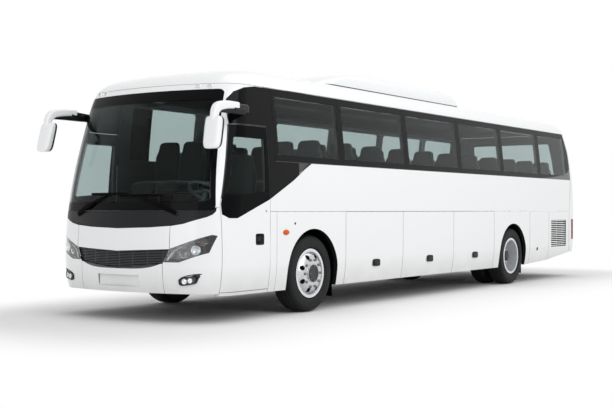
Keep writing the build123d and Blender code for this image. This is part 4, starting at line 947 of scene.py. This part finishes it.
# A carrier and the rubber below it: drop towards the glass, half width and half height
BLADE_PARTS, BLADE_LIFT = ((0.0, 0.005, 0.013), (0.010, 0.003, 0.004)), 0.012
wide = np.interp(np.linspace(0, 1, 30), *ARM_WIDE)
arm_half = np.stack([wide, np.full(30, ARM_HALF_HIGH)], -1)
wiper_arms, blades, spindles = [], [], []
for (y, z), (y_low, y_high, z_blade), (y_tip, z_tip) in zip(SPINDLES, BLADE_ENDS, ARM_TIPS):
    foot, foot_normal = on_nose(y, z, "wiper_panel", "windscreen")
    spindles.append(puck(foot - 0.002 * foot_normal, foot_normal, SPINDLE_HALF, DOME))
    trail = []
    for share in np.linspace(0, 1, 14):
        y_at, z_at = y + share * (y_tip - y), z + share * (z_tip - z)
        point, normal = on_nose(y_at, z_at, "wiper_panel", "windscreen")
        trail.append(point + (ARM_LIFT + STAND_OFF * np.sin(pi * min(1, share + 0.1))) * normal)
    wiper_arms.append(swept(rounded_path(trail, 30, 0.06), arm_half, up=(1, 0, 0)))
    for drop, width, height in BLADE_PARTS:
        run = [(y_at, z_blade) for y_at in np.linspace(y_low, y_high, 16)]
        run = skin_path(run, 1, drop * 0.7 - BLADE_LIFT, "windscreen")
        blades.append(swept(rounded_path(run, 40, 0.03), (width, height)))
arms_piece = new_piece("wiper_arms", *joined(wiper_arms), deep_black, "body", slot="black_plastic")
new_piece("wiper_blades", *joined(blades), deep_black, "body", slot="black_plastic")
new_piece("wiper_spindles", *joined(spindles), satin_black, "body", slot="black_plastic")
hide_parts("wipers")


# Handles, locks and pulls. Black moulded paddles sit in the doors' pockets, the luggage doors
# have flat pulls riveted on, and the locks and the air valves are small discs on the skin.
PADDLE = ((0.0, 0.0), (1.0, 0.0), (1.0, 0.010), (0.94, 0.016), (0.6, 0.018), (0.0, 0.018))
POCKET = ((0.0, 0.0), (0.99, 0.0), (0.99, 0.0257), (1.10, 0.0257), (1.08, 0.0275))
POCKET += ((0.97, 0.0275), (0.93, 0.004), (0.0, 0.0012))
PLATE = ((0.0, -0.0005), (0.98, -0.0005), (1.0, 0.001), (0.96, 0.0035), (0.74, 0.0035))
PLATE += ((0.70, 0.001), (0.0, 0.001))
PLATE_PADDLE = ((0.0, 0.0), (1.0, 0.0), (1.0, 0.003), (0.9, 0.006), (0.5, 0.0065), (0.0, 0.0065))
LOCK = ((0.0, 0.0), (1.0, 0.0), (1.0, 0.003), (0.8, 0.005), (0.25, 0.005), (0.2, 0.002), (0.0, 0.002))
HANDLE_S, HANDLE_Z, POCKET_Y, SKIN_Y = -1.094, 0.9065, 1.222, 1.2475
DOOR_LOCK_S, DOOR_LOCK_Z = -0.975, 1.225
LUGGAGE_PULLS, PULL_Z = (1.470, 2.975, 4.470), 0.5400
for name, side, body in (("left", 1, "driver_door"), ("right", -1, "body")):
    out = (0, side, 0)
    pocket = puck((at(HANDLE_S), side * POCKET_Y, HANDLE_Z), out, (0.0728, 0.0592), POCKET, 0.3)
    spot = (at(HANDLE_S - 0.004), side * POCKET_Y, HANDLE_Z + 0.008)
    paddle = puck(spot, out, (0.048, 0.034), PADDLE, 0.35)
    handle = joined([pocket, paddle])
    new_piece(f"door_handle_{name}", *handle, satin_black, body, slot="black_plastic")
    lock = puck((at(DOOR_LOCK_S), side * (SKIN_Y - 0.0004), DOOR_LOCK_Z), out, (0.011, 0.011), LOCK)
    new_piece(f"door_lock_{name}", *lock, zinc, body)
for name, side in SIDES:
    for number, station in enumerate(LUGGAGE_PULLS, start=1):
        spot = (at(station), side * (SKIN_Y - 0.001), PULL_Z)
        plate = puck(spot, (0, side, 0), (0.096, 0.046), PLATE, 0.35)
        pull = joined([plate, puck(spot, (0, side, 0), (0.066, 0.028), PLATE_PADDLE, 0.4)])
        ends = f"{name}_{number}"
        new_piece(f"luggage_pull_{ends}", *pull, satin_black, f"luggage_door_{ends}", slot="black_plastic")
    for kind, station, z, radius, node, body in (
        ("service_lock", 6.972, 0.557, 0.030, f"service_door_{name}", f"service_door_{name}"),
        ("air_valve", -0.404, 1.078, 0.014, "skirts", "body"),
    ):
        disc = puck(*on_flank(station, side, z, node), (radius, radius), LOCK)
        new_piece(f"{kind}_{name}", *disc, satin_black, body)


# Passenger seats. Foam cushions under grey-green woven moquette on black steel frames: a
# crowned cushion and a tall back with side bolsters, sewn channels and a narrower headrest.
def moquette(name, colour, thread, weave_mm):
    """Woven moquette: a cut pile drawn as crossing threads, with soft mottling and a sheen."""
    values = {"Roughness": 0.85, "Sheen Weight": 0.25, "Sheen Roughness": 0.5}
    material, tree, shader, place = new_material(name, values)
    cloud = add_node(tree, "TexNoise", {"Vector": place, "Scale": 9.0, "Detail": 3})
    threads = 1.0
    for axis in "YZ":
        values = {"Vector": place, "Scale": 1000 / weave_mm / 20, "Distortion": 0.6}
        wave = add_node(tree, "TexWave", values, bands_direction=axis).outputs["Fac"]
        threads = add_node(tree, "Math", {0: threads, 1: wave}, operation="MULTIPLY")
    tint = mixed(tree, threads, linear(colour), linear(thread))
    shade = add_node(tree, "MapRange", {"Value": cloud, "To Min": 0.75, "To Max": 1.15})
    scaled = add_node(tree, "VectorMath", {0: tint, 3: shade}, operation="SCALE")
    tree.links.new(scaled.outputs[0], shader.inputs["Base Color"])
    bump = add_node(tree, "Bump", {"Height": threads, "Strength": 0.5, "Distance": 0.001})
    tree.links.new(bump.outputs[0], shader.inputs["Normal"])
    return material


def seat_back(middle_y, lean_at, low_z, high_z, half_width, half_thick):
    """A tall rounded box whose stations lean back with height: the side bolsters stand forward
    by the fourth power of the width, channels are cut by a sharp cosine of the height, and the
    top third draws in to the headrest."""
    tall = high_z - low_z
    points, faces = pillow((0, 0, 0), (half_thick, half_width, tall / 2), 0.42, 0.3, 40, 44)
    x, y, z = points.T
    share = (z + tall / 2) / tall
    channel = 0.007 * np.maximum(0, np.cos(share * 2 * pi * 5)) ** 6 * (share > 0.15) * (share < 0.72)
    bolster = 0.018 * np.abs(y / half_width) ** 4
    crown = 0.010 * (1 - (y / half_width) ** 2)
    x = x + (x > 0) * (bolster - channel + crown)
    neck = np.clip((share - 0.70) / 0.12, 0, 1)
    y = y * (1 - 0.20 * neck * neck * (3 - 2 * neck))
    lean = np.interp(share, (0, 1), lean_at)
    return np.stack([at(lean) + x, middle_y + y, low_z + share * tall], -1), faces


def seat_cushion(middle_y, front_s, back_s, low_z, high_z, half_width):
    """A low rounded box, crowned in the middle and rolled down at its front, with raised sides."""
    half_long = (back_s - front_s) / 2
    half_sizes = (half_long, half_width, (high_z - low_z) / 2)
    points, faces = pillow((0, 0, 0), half_sizes, 0.3, 0.4, 48, 22)
    x, y, z = points.T
    crown = 0.018 * (1 - (y / half_width) ** 2) * (1 - (x / half_long) ** 4)
    seam = 0.006 * np.exp(-(((np.abs(y) - 0.62 * half_width) / 0.008) ** 2))
    roll = 0.030 * np.clip((x / half_long - 0.55) / 0.45, 0, 1) ** 2
    z = z + (z > 0) * (crown - seam) - roll
    middle_z = (low_z + high_z) / 2 - 0.01
    return np.stack([at((front_s + back_s) / 2) + x, middle_y + y, middle_z + z], -1), faces


SEAT_PITCH, SEAT_ROWS, SEAT_START_S, FRONT_PAIR_S = 0.760, 11, -0.120, -0.80
SEAT_MIDDLES, LEG_YS, SEAT_HALF_WIDTH = (-0.869, -0.456, 0.456, 0.869), (-0.662, 0.662), 0.198
# Stations here are measured from each seat's start
BACK_LEAN, BACK_ZS, BACK_HALF_THICK = (0.497, 0.566), (1.50, 2.118), 0.040
CUSHION_FRONT, CUSHION_BACK, CUSHION_ZS = 0.01, 0.46, (1.455, 1.60)
LEG_S, LEG_ZS, LEG_BOWS = (0.14, 0.36), (1.176, 1.30, 1.46), (0, 0.01, 0)
RAIL_ENDS, RAIL_Z = (0.06, 0.48), 1.44
moquette_grey = moquette("woven moquette", "#18201F", "#2C3635", 6)
backs, cushions, frames = [], [], []
pairs = [(SEAT_START_S + row * SEAT_PITCH, SEAT_MIDDLES, LEG_YS) for row in range(SEAT_ROWS)]
pairs.append((FRONT_PAIR_S, SEAT_MIDDLES[:2], LEG_YS[:1]))
for start, middles, legs in pairs:
    for y in middles:
        lean = [start + back for back in BACK_LEAN]
        backs.append(seat_back(y, lean, *BACK_ZS, SEAT_HALF_WIDTH, BACK_HALF_THICK))
        front, behind = start + CUSHION_FRONT, start + CUSHION_BACK
        cushions.append(seat_cushion(y, front, behind, *CUSHION_ZS, SEAT_HALF_WIDTH))
    for y in legs:
        for foot_s in LEG_S:
            leg = [(at(start + foot_s + bow), y, z) for bow, z in zip(LEG_BOWS, LEG_ZS)]
            frames.append(swept(rounded_path(leg, 8, 0.04), (0.020, 0.030), up=(1, 0, 0)))
        rail = [(at(start + end), y, RAIL_Z) for end in RAIL_ENDS]
        frames.append(swept(rounded_path(rail, 8, 0.02), (0.36, 0.014)))
seat_backs = new_piece("seat_backs", *joined(backs), moquette_grey, "body", slot="seat_cloth")
seat_cushions = new_piece("seat_cushions", *joined(cushions), moquette_grey, "body", slot="seat_cloth")
new_piece("seat_frames", *joined(frames), chassis_black, "body")
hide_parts("passenger_seats")


# Driver's seat. One tall sprung seat of the same cloth on a pleated black rubber bellows, which
# covers its air spring and is clipped to the floor.
DRIVER_Y, DRIVER_S = 0.620, -0.93
driver_back = seat_back(DRIVER_Y, (-0.70, -0.640), 1.20, 1.895, 0.235, 0.045)
driver_cushion = seat_cushion(DRIVER_Y, -1.17, -0.71, 1.075, 1.225, 0.245)
driver_shape = joined([driver_back, driver_cushion])
driver_seat = new_piece("driver_seat_cloth", *driver_shape, moquette_grey, "body", slot="seat_cloth")
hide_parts("driver_seat")
pleats = [(0.95 - 0.10 * (i % 2), 0.004 + i * 0.028) for i in range(11)]
BELLOWS = [(0, 0.001), (1, 0.001), *pleats, (0, 0.30)]
foot = (at(DRIVER_S), DRIVER_Y, 0.761)
bellows = puck(foot, (0, 0, 1), (0.21, 0.15), BELLOWS, 0.4, 48, (1, 0, 0))
new_piece("driver_seat_bellows", *bellows, rubber, "body")


# Dashboard. A slush-moulded dark grey skin over foam, with a soft grain that keeps it from
# shining in the windscreen; it is screwed to the cab's front. Its grey is painted lighter than
# the dark skin, as a painted reflection that lightens the lower windscreen.
dash_grey_with_reflection = moulded("slush-moulded dashboard skin", "#5A676A", 0.55, grain_mm=2.5, depth_mm=0.2)
finish_nodes(dash_grey_with_reflection, "dashboard")


# Luggage racks. Thin shelves of pressed sheet faced with dark textile, which stops luggage from
# sliding, one over each row of seats and hung from the roof's sides.
RACK_ENDS, RACK_RINGS = (at(-0.42), at(8.15)), 60
RACK_OUTLINE = np.array(
    [(0.800, 2.590), (0.786, 2.600), (0.786, 2.616), (0.800, 2.626), (0.900, 2.604)]
    + [(1.000, 2.628), (1.042, 2.600), (1.046, 2.574), (0.960, 2.570)]
)
rack_grey = moulded("dark textile-faced rack", "#262E30", 0.7, grain_mm=5, depth_mm=0.3)
racks = []
for _, side in SIDES:
    stations = np.linspace(*RACK_ENDS, RACK_RINGS)[:, None]
    y, z = (RACK_OUTLINE * (side, 1)).T
    rings = np.stack([stations + 0 * y, 0 * stations + y, 0 * stations + z], -1)
    caps = [ring.mean(0) + 0 * ring[None] for ring in (rings[0], rings[-1])]
    rack_points = np.concatenate([caps[0], rings, caps[1]]).reshape(-1, 3)
    racks.append((rack_points, grid_faces(RACK_RINGS + 2, len(RACK_OUTLINE))))
rack_shelves = new_piece("rack_shelves", *joined(racks), rack_grey, "body", smooth=False)
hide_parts("luggage_racks")
